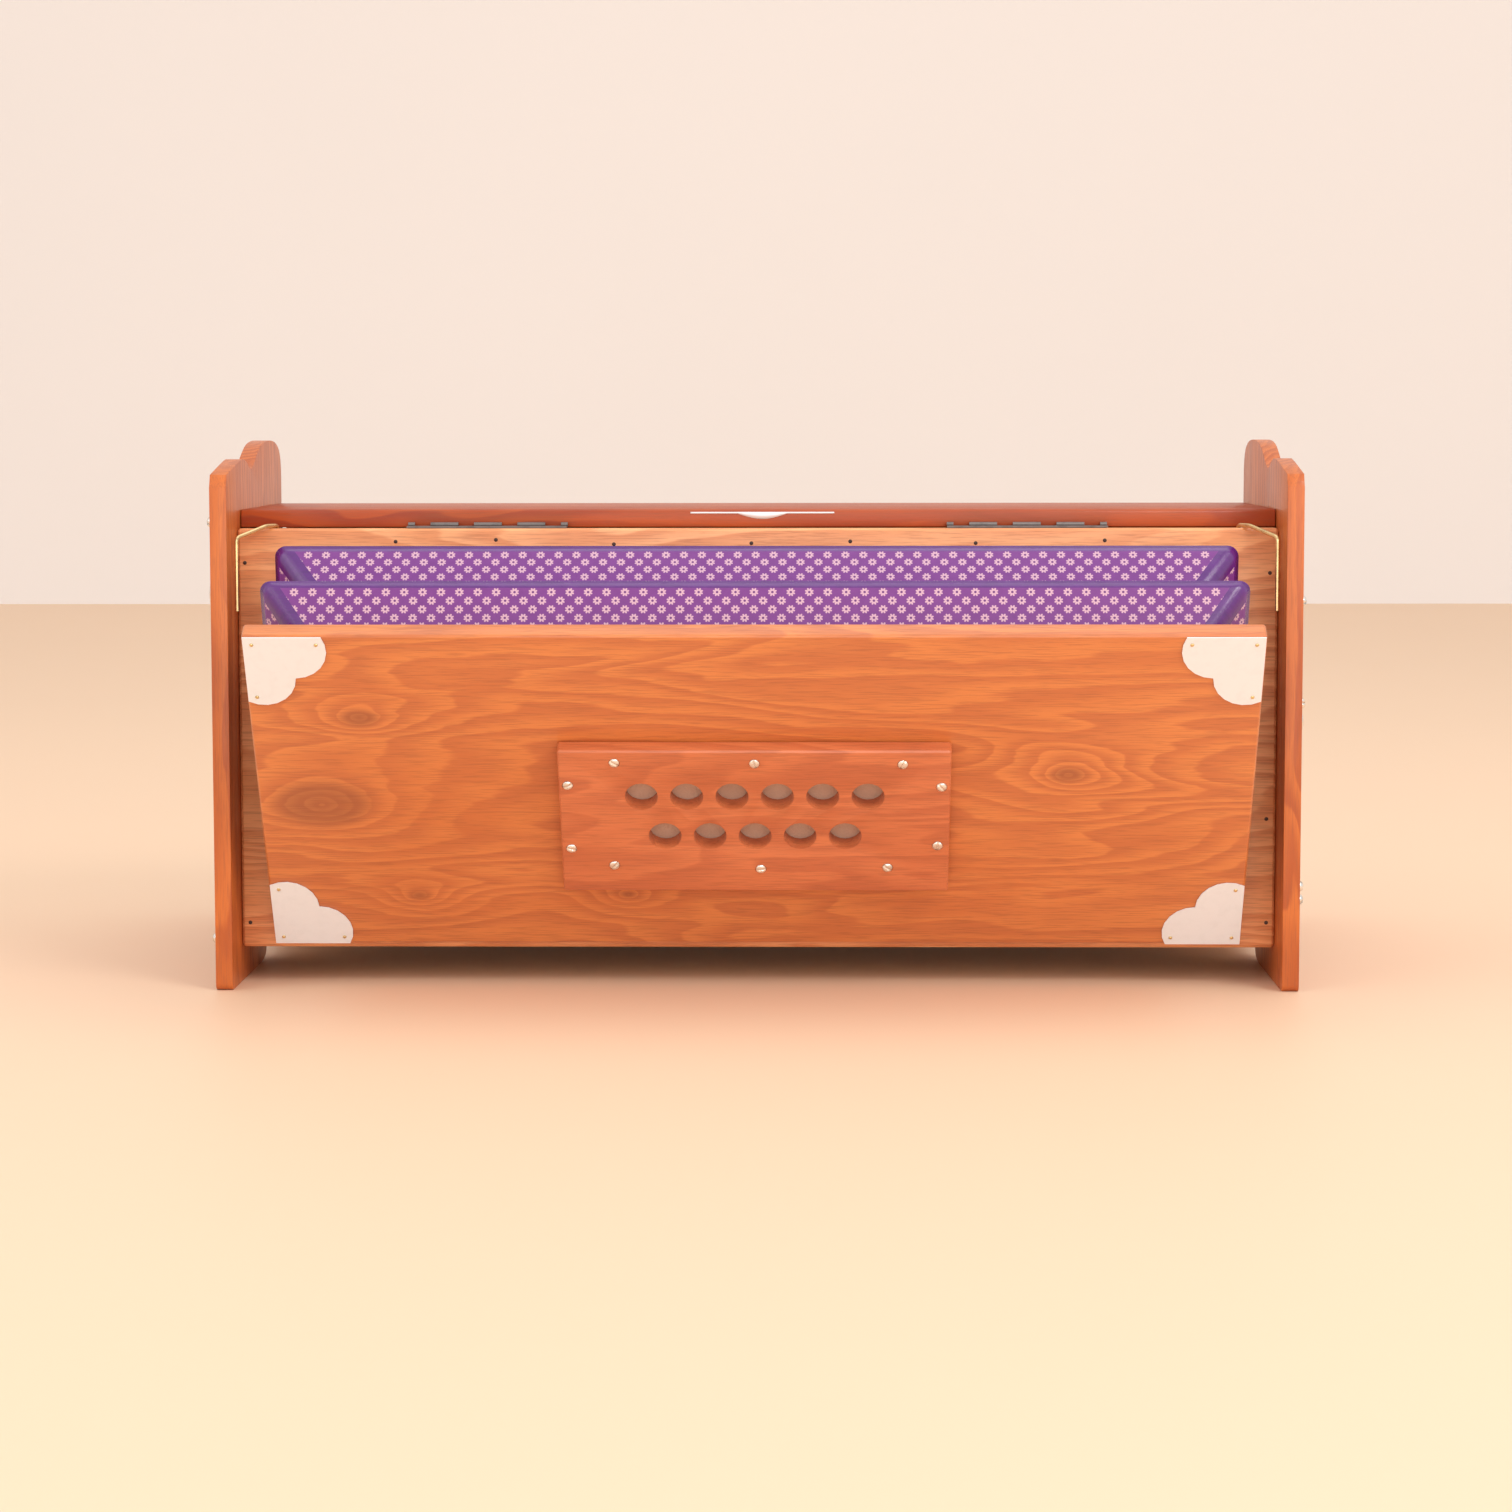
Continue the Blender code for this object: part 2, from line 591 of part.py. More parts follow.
def lid_outline():
    """The lid from the side: a flat top that sweeps down over the keys to an upright nose."""
    top, under = LID_TOP, LID_TOP - LID_THICKNESS
    nose_face, nose_back = FRONT_BOARD_FACE, FRONT_BOARD_BACK + 0.002
    foot = FRONT_BOARD_TOP + GAP
    shoulder = LID_NOSE_HEIGHT
    outer = smooth(
        [
            (LID_FLAT_END, top),
            (LID_FLAT_END + 0.022, top - 0.004),
            (LID_FLAT_END + 0.050, top - 0.015),
            (nose_face - 0.034, shoulder + 0.006),
            (nose_face - LID_NOSE_ROUNDING, shoulder),
        ],
        4,
    )
    inner = smooth(
        [
            (nose_back - 0.006, shoulder - 0.005),
            (nose_face - 0.040, shoulder - LID_THICKNESS + 0.007),
            (LID_FLAT_END + 0.046, under - 0.015),
            (LID_FLAT_END + 0.018, under - 0.004),
            (LID_FLAT_END - 0.004, under),
        ],
        3,
    )
    nose = arc((nose_face - LID_NOSE_ROUNDING, shoulder - LID_NOSE_ROUNDING), LID_NOSE_ROUNDING, 90, 0, 4)[1:]
    start = [(FRAME_BACK, LID_BOTTOM), *arc((FRAME_BACK + LID_ARRIS, top - LID_ARRIS), LID_ARRIS, 180, 90, 2)]
    rear = [(FRAME_BACK + 0.012, under), (FRAME_BACK + 0.010, LID_BOTTOM)] if under > LID_BOTTOM else []
    return [*start, *outer, *nose, (nose_face, foot), (nose_back, foot), (nose_back, shoulder - 0.012), *inner, *rear]


def add_lid(root, finish, steel):
    """The lid turns about the barrels of its two hinges, which stand on the ledge behind it."""
    axle = empty("lid_axle", root, (0, BARREL_DEPTH, BARREL_HEIGHT))
    width = 2 * (INNER_HALF - LID_END_CLEARANCE)
    outline = [(depth - BARREL_DEPTH, height - BARREL_HEIGHT) for depth, height in lid_outline()]
    outline_solid("lid", outline, width, axle, (0, 0, 0), (pi / 2, 0, pi / 2), finish)
    for name, side in (("left_lid_hinge", -1), ("right_lid_hinge", 1)):
        low = -LID_HINGE_LENGTH / 2
        leaf = (
            (low, -LID_HINGE_LEAF, -BARREL_RADIUS),
            (-low, -BARREL_RADIUS / 4, LID_HINGE_LEAF_THICKNESS - BARREL_RADIUS),
        )
        hinge = bpy.data.objects.new(name, box_mesh(name, [leaf]))
        place(hinge, root, (side * LID_HINGE_X, BARREL_DEPTH, BARREL_HEIGHT), finish=steel)
        edges = [low]
        for i in range(LID_HINGE_SLOTS):
            slot_middle = LID_HINGE_PITCH * (i - (LID_HINGE_SLOTS - 1) / 2)
            edges += [slot_middle - LID_HINGE_SLOT / 2, slot_middle + LID_HINGE_SLOT / 2]
        edges.append(-low)
        rods = [
            (((a + b) / 2, 0, 0), BARREL_RADIUS, b - a, (1, 0, 0))
            for a, b in zip(edges[::2], edges[1::2])
        ]
        knuckles = cutter(name + "_knuckles", rod_mesh(name + "_knuckles", rods, 10), hinge)
        combine(hinge, knuckles, "UNION")


def key_middle(step):
    """Where a key's lever lies along the keyboard, from the low end: one semitone apart."""
    return (step + 0.5) * SEMITONE


def is_sharp(step):
    return step % 12 in SHARP_STEPS


def natural_outline(step):
    """A natural key from above: its broad front, its part between the sharps, and its lever."""
    number = 7 * (step // 12) + sum(not is_sharp(s) for s in range(step % 12))
    left = number * NATURAL_PITCH + KEY_GAP / 2
    right = (number + 1) * NATURAL_PITCH - KEY_GAP / 2
    room = SHARP_WIDTH / 2 + KEY_GAP
    last = 12 * OCTAVES
    inner_left = key_middle(step - 1) + room if step > 0 and is_sharp(step - 1) else left
    inner_right = key_middle(step + 1) - room if step < last and is_sharp(step + 1) else right
    lever = key_middle(step)
    shoulder = SHARP_FRONT + KEY_GAP
    points = [(left, KEY_FRONT), (right, KEY_FRONT)]
    if inner_right < right:
        points += [(right, shoulder + LEVER_TAPER / 8), (inner_right, shoulder)]
    points += [(inner_right, SHARP_BACK), (lever + LEVER_WIDTH / 2, SHARP_BACK - LEVER_TAPER)]
    points += [(lever + LEVER_WIDTH / 2, KEY_TAIL_END), (lever - LEVER_WIDTH / 2, KEY_TAIL_END)]
    points += [(lever - LEVER_WIDTH / 2, SHARP_BACK - LEVER_TAPER), (inner_left, SHARP_BACK)]
    if inner_left > left:
        points += [(inner_left, shoulder), (left, shoulder + LEVER_TAPER / 8)]
    return points


def sharp_outline():
    """A sharp key from the side: pallet, lever, and the raised head with its sloping front."""
    pallet = REED_BOARD_TOP + GAP
    top = KEY_TOP + SHARP_HEIGHT
    return [
        (KEY_TAIL_END, pallet),
        (KEY_TAIL_END, KEY_TOP - 0.003),
        (SHARP_BACK, KEY_TOP - 0.003),
        (SHARP_BACK, top),
        (SHARP_FRONT - SHARP_SLOPE, top),
        (SHARP_FRONT, KEY_TOP - 0.002),
        (SHARP_FRONT, KEY_BOTTOM),
        (KEY_TAIL_END + PALLET_LENGTH, KEY_BOTTOM),
        (KEY_TAIL_END + PALLET_LENGTH, pallet),
    ]


def add_keys(root, white, black, axis_height):
    """Each key rocks on the rail: its front goes down and its pallet lifts off the reed board."""
    for step in range(12 * OCTAVES + 1):
        name = f"key_{step + 1:02d}_{NOTE_NAMES[step % 12]}"
        axle = empty(name + "_axle", root, (0, PIVOT_DEPTH, axis_height))
        if is_sharp(step):
            points = [(depth - PIVOT_DEPTH, height - axis_height) for depth, height in sharp_outline()]
            across = KEYBOARD_WIDTH / 2 - key_middle(step)
            outline_solid(name, points, SHARP_WIDTH, axle, (across, 0, 0), (pi / 2, 0, pi / 2), black)
            continue
        points = [(KEYBOARD_WIDTH / 2 - x, y - PIVOT_DEPTH) for x, y in natural_outline(step)]
        middle = (KEY_TOP + KEY_BOTTOM) / 2 - axis_height
        key = outline_solid(name, points, KEY_THICKNESS, axle, (0, 0, middle), (0, 0, 0), white)
        across = KEYBOARD_WIDTH / 2 - key_middle(step)
        pallet = (
            (across - PALLET_WIDTH / 2, KEY_TAIL_END - 0.001, REED_BOARD_TOP + GAP),
            (across + PALLET_WIDTH / 2, KEY_TAIL_END + PALLET_LENGTH, KEY_BOTTOM + 0.001),
        )
        combine(key, cutter(name + "_pallet", box_mesh(name + "_pallet", [pallet]), root), "UNION")


def add_reed_board(root, finish):
    """The top of the wind chest: a slot and a reed for each key, and the rail that the keys rock on."""
    half = INNER_HALF - GAP
    low = REED_BOARD_TOP - REED_BOARD_THICKNESS
    start = FRAME_BACK + GAP
    body = ((-half, start, low), (half, start + REED_BOARD_LENGTH, REED_BOARD_TOP))
    board = bpy.data.objects.new("reed_board", box_mesh("reed_board", [body]))
    place(board, root, finish=finish)
    slot_middle = KEY_TAIL_END + PALLET_LENGTH / 2
    slots, reeds = [], []
    for step in range(12 * OCTAVES + 1):
        x = KEYBOARD_WIDTH / 2 - key_middle(step)
        slots.append((
            (x - REED_SLOT_WIDTH / 2, slot_middle - REED_SLOT_LENGTH / 2, low - BASE_THICKNESS),
            (x + REED_SLOT_WIDTH / 2, slot_middle + REED_SLOT_LENGTH / 2, REED_BOARD_TOP + BASE_THICKNESS),
        ))
        reeds.append((
            (x - REED_WIDTH / 2, slot_middle - REED_LENGTH / 2, low - REED_THICKNESS),
            (x + REED_WIDTH / 2, slot_middle + REED_LENGTH / 2, low + REED_SEAT),
        ))
    rail = (
        (-KEYBOARD_WIDTH / 2, PIVOT_DEPTH - PIVOT_RAIL_WIDTH / 2, REED_BOARD_TOP - REED_SEAT),
        (KEYBOARD_WIDTH / 2, PIVOT_DEPTH + PIVOT_RAIL_WIDTH / 2, KEY_BOTTOM - GAP),
    )
    combine(board, cutter("reed_slots", box_mesh("reed_slots", slots), root), "DIFFERENCE")
    combine(board, cutter("reeds", box_mesh("reeds", reeds), root), "UNION")
    combine(board, cutter("pivot_rail", box_mesh("pivot_rail", [rail]), root), "UNION")


def add_reservoir(root, finish):
    """The moving floor of the reservoir, hinged at the front board, which springs press upwards."""
    edge = (0, FRONT_BOARD_BACK - GAP, RESERVOIR_HEIGHT - RESERVOIR_THICKNESS)
    axle = empty("reservoir_axle", root, edge)
    half = INNER_HALF - 2 * GAP
    board = ((-half, -RESERVOIR_LENGTH, 0), (half, 0, RESERVOIR_THICKNESS))
    data = box_mesh("reservoir_board", [board])
    place(bpy.data.objects.new("reservoir_board", data), axle, finish=finish)


def stop_x(number):
    return STOP_PITCH * (number - (STOP_COUNT - 1) / 2)


def add_stops(root, finish):
    """Each stop is a turned knob on a rod that slides through the front board."""
    rod, knob = STOP_ROD_DIAMETER / 2, STOP_KNOB_DIAMETER / 2
    length = STOP_KNOB_LENGTH
    profile = [
        (0.0, length),
        (knob * 0.55, length - 0.0008),
        (knob * 0.85, length * 0.88),
        (knob, length * 0.68),
        (knob * 0.88, length * 0.50),
        (knob * 0.55, length * 0.36),
        (knob * 0.50, length * 0.22),
        (knob * 0.72, length * 0.10),
        (knob * 0.75, 0.0),
        (rod, 0.0),
        (rod, -STOP_ROD_LENGTH),
        (0.0, -STOP_ROD_LENGTH),
    ]
    for i in range(STOP_COUNT):
        name = f"stop_knob_{i + 1}"
        data = bpy.data.meshes.new(name)
        points = [(radius, 0.0, height) for radius, height in profile]
        data.from_pydata(points, [(j, j + 1) for j in range(len(points) - 1)], [])
        stop = bpy.data.objects.new(name, data)
        seat = (stop_x(i), FRONT_BOARD_FACE + GAP, STOP_HEIGHT)
        place(stop, root, seat, (-pi / 2, 0, 0), finish)
        turn = stop.modifiers.new("turned", "SCREW")
        turn.steps = turn.render_steps = 20
        turn.use_merge_vertices = True
        turn.merge_threshold = 0.00001
        turn.use_smooth_shade = True


def main():
    clear_scene()
    teak = material("varnished_teak", (0.62, 0.26, 0.08), 0.30)
    pine = material("plain_inner_wood", (0.62, 0.40, 0.20), 0.60)
    ivory = material("key_white", (0.86, 0.83, 0.74), 0.30)
    ebony = material("key_black", (0.02, 0.02, 0.02), 0.35)
    brass = material("brass_wire", (0.78, 0.57, 0.28), 0.35, 1.0)
    nickel = material("white_metal", (0.80, 0.77, 0.74), 0.40, 0.6)
    steel = material("hinge_steel", (0.45, 0.42, 0.40), 0.45, 1.0)
    suede = material("suede", (0.36, 0.27, 0.23), 0.90)
    cloth = material("bellows_cloth", (0.22, 0.04, 0.36), 0.45)

    root = empty("harmonium", None, (0, -MIDDLE_DEPTH, 0))
    add_cheeks(root, teak)
    add_case(root, teak, pine)
    add_front_board(root, teak)
    add_bellows(root, teak, cloth, nickel, suede)
    add_latches(root, brass)
    add_lid(root, teak, steel)
    add_reed_board(root, pine)
    add_keys(root, ivory, ebony, KEY_BOTTOM)
    add_reservoir(root, pine)
    add_stops(root, ebony)


main()
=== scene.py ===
from math import cos, pi, radians, sin

import bmesh
import bpy
import numpy as np
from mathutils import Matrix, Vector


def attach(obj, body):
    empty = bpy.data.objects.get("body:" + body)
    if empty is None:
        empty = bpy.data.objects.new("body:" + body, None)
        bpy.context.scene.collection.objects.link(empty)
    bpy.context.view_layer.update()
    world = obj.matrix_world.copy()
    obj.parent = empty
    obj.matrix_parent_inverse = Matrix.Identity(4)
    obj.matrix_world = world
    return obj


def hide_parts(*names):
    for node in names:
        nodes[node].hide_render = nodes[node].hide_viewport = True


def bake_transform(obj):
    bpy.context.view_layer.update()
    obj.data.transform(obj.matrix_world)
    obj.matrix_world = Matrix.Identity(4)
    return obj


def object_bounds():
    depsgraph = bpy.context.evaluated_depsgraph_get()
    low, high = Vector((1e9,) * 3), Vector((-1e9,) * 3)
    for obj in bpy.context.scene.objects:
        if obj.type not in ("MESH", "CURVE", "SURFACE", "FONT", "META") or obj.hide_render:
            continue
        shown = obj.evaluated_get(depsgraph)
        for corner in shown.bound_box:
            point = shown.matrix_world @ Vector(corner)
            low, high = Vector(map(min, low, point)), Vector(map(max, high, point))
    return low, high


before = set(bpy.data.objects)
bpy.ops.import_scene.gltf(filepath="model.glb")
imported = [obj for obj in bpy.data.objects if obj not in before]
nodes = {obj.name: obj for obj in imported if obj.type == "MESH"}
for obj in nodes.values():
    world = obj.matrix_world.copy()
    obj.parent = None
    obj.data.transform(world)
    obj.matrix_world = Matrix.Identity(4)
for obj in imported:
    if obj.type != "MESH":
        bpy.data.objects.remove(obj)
cadLow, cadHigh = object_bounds()
print("frame loaded")

# the case's own places, in metres, as the CAD has them
caseShift = -0.1277052  # from the cheeks' front edges to the middle of the footprint
hingeLine = np.array([0.0, 0.0354 + caseShift, 0.030])
restAngle = radians(32.0)
boardHalf = 0.2747
boardTop = 0.2145
boardThick = 0.012
frameFace = 0.036 + caseShift


# camera: metres for its place, degrees for its turns, millimetres for its lens
viewing = {
    "across": 0.0345, "back": 2.2077, "height": 0.321,
    "down": 5.16, "turn": 0.943, "roll": 0.063,
    "lens": 88.8, "sensor": 36.0,
}

cameraData = bpy.data.cameras.new("viewCamera")
cameraData.lens = viewing["lens"]
cameraData.sensor_width = viewing["sensor"]
camera = bpy.data.objects.new("viewCamera", cameraData)
camera.location = (viewing["across"], -viewing["back"], viewing["height"])
camera.rotation_euler = (
    radians(90 - viewing["down"]), radians(viewing["roll"]), radians(viewing["turn"]),
)
bpy.context.scene.collection.objects.link(camera)
bpy.context.scene.camera = camera
bpy.context.scene.view_settings.view_transform = "Standard"


# shader helpers
def newMaterial(name, roughness=0.5, metallic=0.0, coat=0.0, coatRoughness=0.1):
    material = bpy.data.materials.new(name)
    material.use_nodes = True
    shader = material.node_tree.nodes["Principled BSDF"]
    shader.inputs["Roughness"].default_value = roughness
    shader.inputs["Metallic"].default_value = metallic
    shader.inputs["Coat Weight"].default_value = coat
    shader.inputs["Coat Roughness"].default_value = coatRoughness
    return material, material.node_tree, shader


def put(tree, socket, value):
    if isinstance(value, bpy.types.NodeSocket):
        tree.links.new(value, socket)
    else:
        socket.default_value = value


def calc(tree, operation, *values):
    node = tree.nodes.new("ShaderNodeMath")
    node.operation = operation
    for socket, value in zip(node.inputs, values):
        put(tree, socket, value)
    return node.outputs[0]


def add(tree, first, second):
    return calc(tree, "ADD", first, second)


def times(tree, first, second):
    return calc(tree, "MULTIPLY", first, second)


def less(tree, first, second):
    return calc(tree, "SUBTRACT", first, second)


def blendColour(tree, share, first, second):
    node = tree.nodes.new("ShaderNodeMix")
    node.data_type = "RGBA"
    for index, value in ((0, share), (6, first), (7, second)):
        ready = isinstance(value, (float, bpy.types.NodeSocket))
        put(tree, node.inputs[index], value if ready else (*value, 1.0))
    return node.outputs[2]


def noiseOf(tree, vector, scale=1.0, detail=3.0, roughness=0.5, distortion=0.0):
    node = tree.nodes.new("ShaderNodeTexNoise")
    put(tree, node.inputs["Vector"], vector)
    node.inputs["Scale"].default_value = scale
    node.inputs["Detail"].default_value = detail
    node.inputs["Roughness"].default_value = roughness
    node.inputs["Distortion"].default_value = distortion
    return node.outputs["Fac"]


def stretch(tree, vector, scale, offset=(0, 0, 0), turn=(0, 0, 0)):
    node = tree.nodes.new("ShaderNodeMapping")
    put(tree, node.inputs["Vector"], vector)
    node.inputs["Scale"].default_value = scale
    node.inputs["Location"].default_value = offset
    node.inputs["Rotation"].default_value = turn
    return node.outputs[0]


def fade(tree, value, low, high):
    node = tree.nodes.new("ShaderNodeMapRange")
    node.interpolation_type = "SMOOTHSTEP"
    put(tree, node.inputs[0], value)
    node.inputs[1].default_value = low
    node.inputs[2].default_value = high
    return node.outputs[0]


def objectPlace(tree):
    return tree.nodes.new("ShaderNodeTexCoord").outputs["Object"]


def partsOf(tree, vector):
    node = tree.nodes.new("ShaderNodeSeparateXYZ")
    tree.links.new(vector, node.inputs[0])
    return node.outputs


def bumpOf(tree, shader, height, strength, distance):
    node = tree.nodes.new("ShaderNodeBump")
    node.inputs["Strength"].default_value = strength
    node.inputs["Distance"].default_value = distance
    tree.links.new(height, node.inputs["Height"])
    tree.links.new(node.outputs[0], shader.inputs["Normal"])


def newGroup(name, inputs, outputs):
    tree = bpy.data.node_groups.new(name, "ShaderNodeTree")
    for label, kind in inputs:
        tree.interface.new_socket(label, in_out="INPUT", socket_type=kind)
    for label, kind in outputs:
        tree.interface.new_socket(label, in_out="OUTPUT", socket_type=kind)
    given = tree.nodes.new("NodeGroupInput").outputs
    result = tree.nodes.new("NodeGroupOutput").inputs
    return tree, given, result


def useGroup(tree, group, **values):
    node = tree.nodes.new("ShaderNodeGroup")
    node.node_tree = group
    for label, value in values.items():
        put(tree, node.inputs[label], value)
    return node.outputs


# wood figure, grain along X: bands of growth across the grain, bent by slow noise, small waves and knots
figure = {
    "bandsUp": 26.0, "bandsDeep": 17.0,  # bands per metre, before a wood's own number of them
    "slow": (3.2, 16.0, 16.0), "slowBend": 3.4,
    "waves": (11.0, 70.0, 70.0), "wavesBend": 0.42,
    "lateFrom": 0.80, "lateTo": 0.86,  # a band darkens slowly up to here, and ends sharply from here
    "pores": (55.0, 1300.0, 1300.0), "poresFrom": 0.46, "poresTo": 0.66,
    "tone": (5.0, 22.0, 22.0), "toneOffset": (3.1, 0.7, 1.9),
}


def makeWoodFigure():
    tree, given, result = newGroup(
        "woodFigure",
        [("Vector", "NodeSocketVector"), ("Knots", "NodeSocketFloat"), ("Bands", "NodeSocketFloat")],
        [("Figure", "NodeSocketFloat"), ("Pores", "NodeSocketFloat"), ("Tone", "NodeSocketFloat")],
    )
    vector = given["Vector"]
    slow = stretch(tree, vector, figure["slow"])
    slow = noiseOf(tree, slow, detail=2.0, roughness=0.45, distortion=0.6)
    waves = noiseOf(tree, stretch(tree, vector, figure["waves"]), distortion=0.4)
    axes = partsOf(tree, vector)
    path = add(tree, times(tree, axes[2], figure["bandsUp"]), times(tree, axes[1], figure["bandsDeep"]))
    path = add(tree, path, times(tree, slow, figure["slowBend"]))
    path = add(tree, path, times(tree, waves, figure["wavesBend"]))
    path = add(tree, path, given["Knots"])
    band = calc(tree, "FRACT", times(tree, path, given["Bands"]))
    rise = fade(tree, band, 0.0, figure["lateFrom"])
    fall = less(tree, 1.0, fade(tree, band, figure["lateTo"], 1.0))
    put(tree, result["Figure"], times(tree, rise, fall))
    pores = noiseOf(tree, stretch(tree, vector, figure["pores"]), detail=2.0, roughness=0.6)
    put(tree, result["Pores"], fade(tree, pores, figure["poresFrom"], figure["poresTo"]))
    tone = stretch(tree, vector, figure["tone"], figure["toneOffset"])
    tone = noiseOf(tree, tone, detail=4.0, roughness=0.6, distortion=0.8)
    put(tree, result["Tone"], tone)
    return tree


woodFigure = makeWoodFigure()

# what every wood shares, and what a knot looks like
woodFinish = {
    "coatRoughness": 0.07, "toneFrom": 0.42, "toneTo": 0.72, "toneShare": 0.55,
    "poreShare": 0.30, "poreRoughness": 0.10, "bump": 0.10, "bumpDepth": 0.0003,
    "knotLength": 0.55,  # a knot is this much of its own length high
    "knotCore": 1.2, "coreFrom": 0.85, "coreTo": 1.25, "coreShare": 0.55,
}


# a sum of soft swirls: each knot's lift falls off exponentially with the distance from it
def knotField(tree, vector, knots):
    total = None
    squeeze = woodFinish["knotLength"]
    for place, size, lift in knots:
        node = tree.nodes.new("ShaderNodeVectorMath")
        node.operation = "DISTANCE"
        tree.links.new(stretch(tree, vector, (squeeze, 1.0, 1.0)), node.inputs[0])
        node.inputs[1].default_value = (place[0] * squeeze, place[1], place[2])
        away = calc(tree, "DIVIDE", node.outputs["Value"], size)
        near = times(tree, calc(tree, "EXPONENT", times(tree, away, -1.0)), lift)
        total = near if total is None else add(tree, total, near)
    return total


def woodMaterial(name, look):
    finish = woodFinish
    material, tree, shader = newMaterial(
        name, look["roughness"], coat=look["coat"], coatRoughness=finish["coatRoughness"],
    )
    place = objectPlace(tree)
    vector = stretch(tree, place, (1, 1, 1), look.get("offset", (0, 0, 0)), look.get("turn", (0, 0, 0)))
    knots = knotField(tree, place, look["knots"]) if "knots" in look else 0.0
    seen = useGroup(tree, woodFigure, Vector=vector, Knots=knots, Bands=look["bands"])
    base = blendColour(tree, seen["Figure"], look["light"], look["dark"])
    tone = fade(tree, seen["Tone"], finish["toneFrom"], finish["toneTo"])
    base = blendColour(tree, times(tree, tone, finish["toneShare"]), base, look["warm"])
    base = blendColour(tree, times(tree, seen["Pores"], finish["poreShare"]), base, look["pore"])
    if "knots" in look:
        core = finish["knotCore"]
        core = fade(tree, knots, finish["coreFrom"] * core, finish["coreTo"] * core)
        base = blendColour(tree, times(tree, core, finish["coreShare"]), base, look["pore"])
    put(tree, shader.inputs["Base Color"], base)
    dull = times(tree, seen["Pores"], finish["poreRoughness"])
    put(tree, shader.inputs["Roughness"], add(tree, look["roughness"], dull))
    bumpOf(tree, shader, less(tree, 1.0, seen["Pores"]), finish["bump"], finish["bumpDepth"])
    return material


# a point on the bellows board's face: across it, up along it, and standing proud of it
def boardPoint(x, up, proud=0.0):
    out = boardThick + proud
    return np.array([
        x,
        hingeLine[1] - up * sin(restAngle) - out * cos(restAngle),
        hingeLine[2] + up * cos(restAngle) - out * sin(restAngle),
    ])


# knots of the bellows board: place, size in metres, lift in bands
boardKnots = [
    (boardPoint(-0.215, 0.160), 0.013, 1.6),
    (boardPoint(-0.240, 0.100), 0.026, 2.2),
    (boardPoint(-0.190, 0.035), 0.010, 1.5),
    (boardPoint(-0.072, 0.036), 0.011, 1.5),
    (boardPoint(0.172, 0.121), 0.014, 1.8),
]
teak = {
    "light": (0.70, 0.225, 0.060), "dark": (0.57, 0.160, 0.046), "warm": (0.64, 0.180, 0.044),
    "pore": (0.27, 0.075, 0.028), "roughness": 0.36, "coat": 0.35, "bands": 3.4,
}
woods = {
    "boardTeak": {**teak, "knots": boardKnots, "bands": 3.2},
    "plateTeak": {
        **teak, "light": (0.66, 0.185, 0.066), "dark": (0.55, 0.14, 0.05), "warm": (0.60, 0.16, 0.05),
        "offset": (0.3, 0.7, 0.2), "bands": 2.6,
    },
    "railTeak": {
        **teak, "light": (0.43, 0.066, 0.006), "dark": (0.31, 0.036, 0.004), "warm": (0.48, 0.082, 0.008),
        "coat": 0.15, "roughness": 0.48, "offset": (1.3, 0.2, 0.6),
    },
    "cheekTeak": {
        **teak, "light": (0.60, 0.145, 0.022), "dark": (0.44, 0.085, 0.012), "warm": (0.66, 0.170, 0.022),
        "coat": 0.2, "roughness": 0.45, "offset": (2.1, 1.7, 0.4), "turn": (0, radians(90), 0),
    },
    "frameTeak": {
        **teak, "light": (0.92, 0.42, 0.18), "dark": (0.74, 0.27, 0.10), "warm": (0.86, 0.34, 0.12),
        "coat": 0.25, "roughness": 0.45, "offset": (0.9, 2.3, 1.1),
    },
    "innerPine": {
        **teak, "light": (0.72, 0.50, 0.28), "dark": (0.58, 0.36, 0.18), "warm": (0.66, 0.42, 0.22),
        "pore": (0.40, 0.24, 0.12), "coat": 0.0, "roughness": 0.62, "offset": (0.4, 0.1, 2.2),
    },
}
finishes = {name: woodMaterial(name, look) for name, look in woods.items()}
print("wood materials made")


# metal with fine scratches and a little unevenness
metals = {
    "brassWire": {"colour": (0.80, 0.60, 0.30), "roughness": 0.28, "metallic": 1.0, "uneven": 0.25},
    "plateMetal": {"colour": (0.83, 0.85, 0.88), "roughness": 0.42, "metallic": 0.2, "uneven": 0.03},
    "nickelScrew": {"colour": (0.88, 0.84, 0.78), "roughness": 0.25, "metallic": 1.0, "uneven": 0.25},
    "hingeSteel": {"colour": (0.22, 0.19, 0.18), "roughness": 0.5, "metallic": 1.0, "uneven": 0.25},
    "darkNail": {"colour": (0.10, 0.07, 0.06), "roughness": 0.55, "metallic": 1.0, "uneven": 0.25},
}
metalFinish = {
    "blotches": 160.0, "blotchFrom": 0.45, "blotchTo": 0.70, "scratches": (90.0, 1600.0, 900.0),
    "shinier": 0.06, "duller": 0.14, "bump": 0.06, "bumpDepth": 0.0002,
}


def metalMaterial(name, look):
    finish = metalFinish
    metal, tree, shader = newMaterial(name, look["roughness"], look["metallic"])
    place = objectPlace(tree)
    blotch = noiseOf(tree, place, finish["blotches"], detail=4.0, roughness=0.6)
    scratch = noiseOf(tree, stretch(tree, place, finish["scratches"]), detail=2.0, roughness=0.6)
    darker = tuple(c * (1 - look["uneven"]) for c in look["colour"])
    dark = fade(tree, blotch, finish["blotchFrom"], finish["blotchTo"])
    put(tree, shader.inputs["Base Color"], blendColour(tree, dark, look["colour"], darker))
    dull = times(tree, scratch, finish["duller"])
    put(tree, shader.inputs["Roughness"], add(tree, look["roughness"] - finish["shinier"], dull))
    bumpOf(tree, shader, scratch, finish["bump"], finish["bumpDepth"])
    return metal


for name, look in metals.items():
    finishes[name] = metalMaterial(name, look)


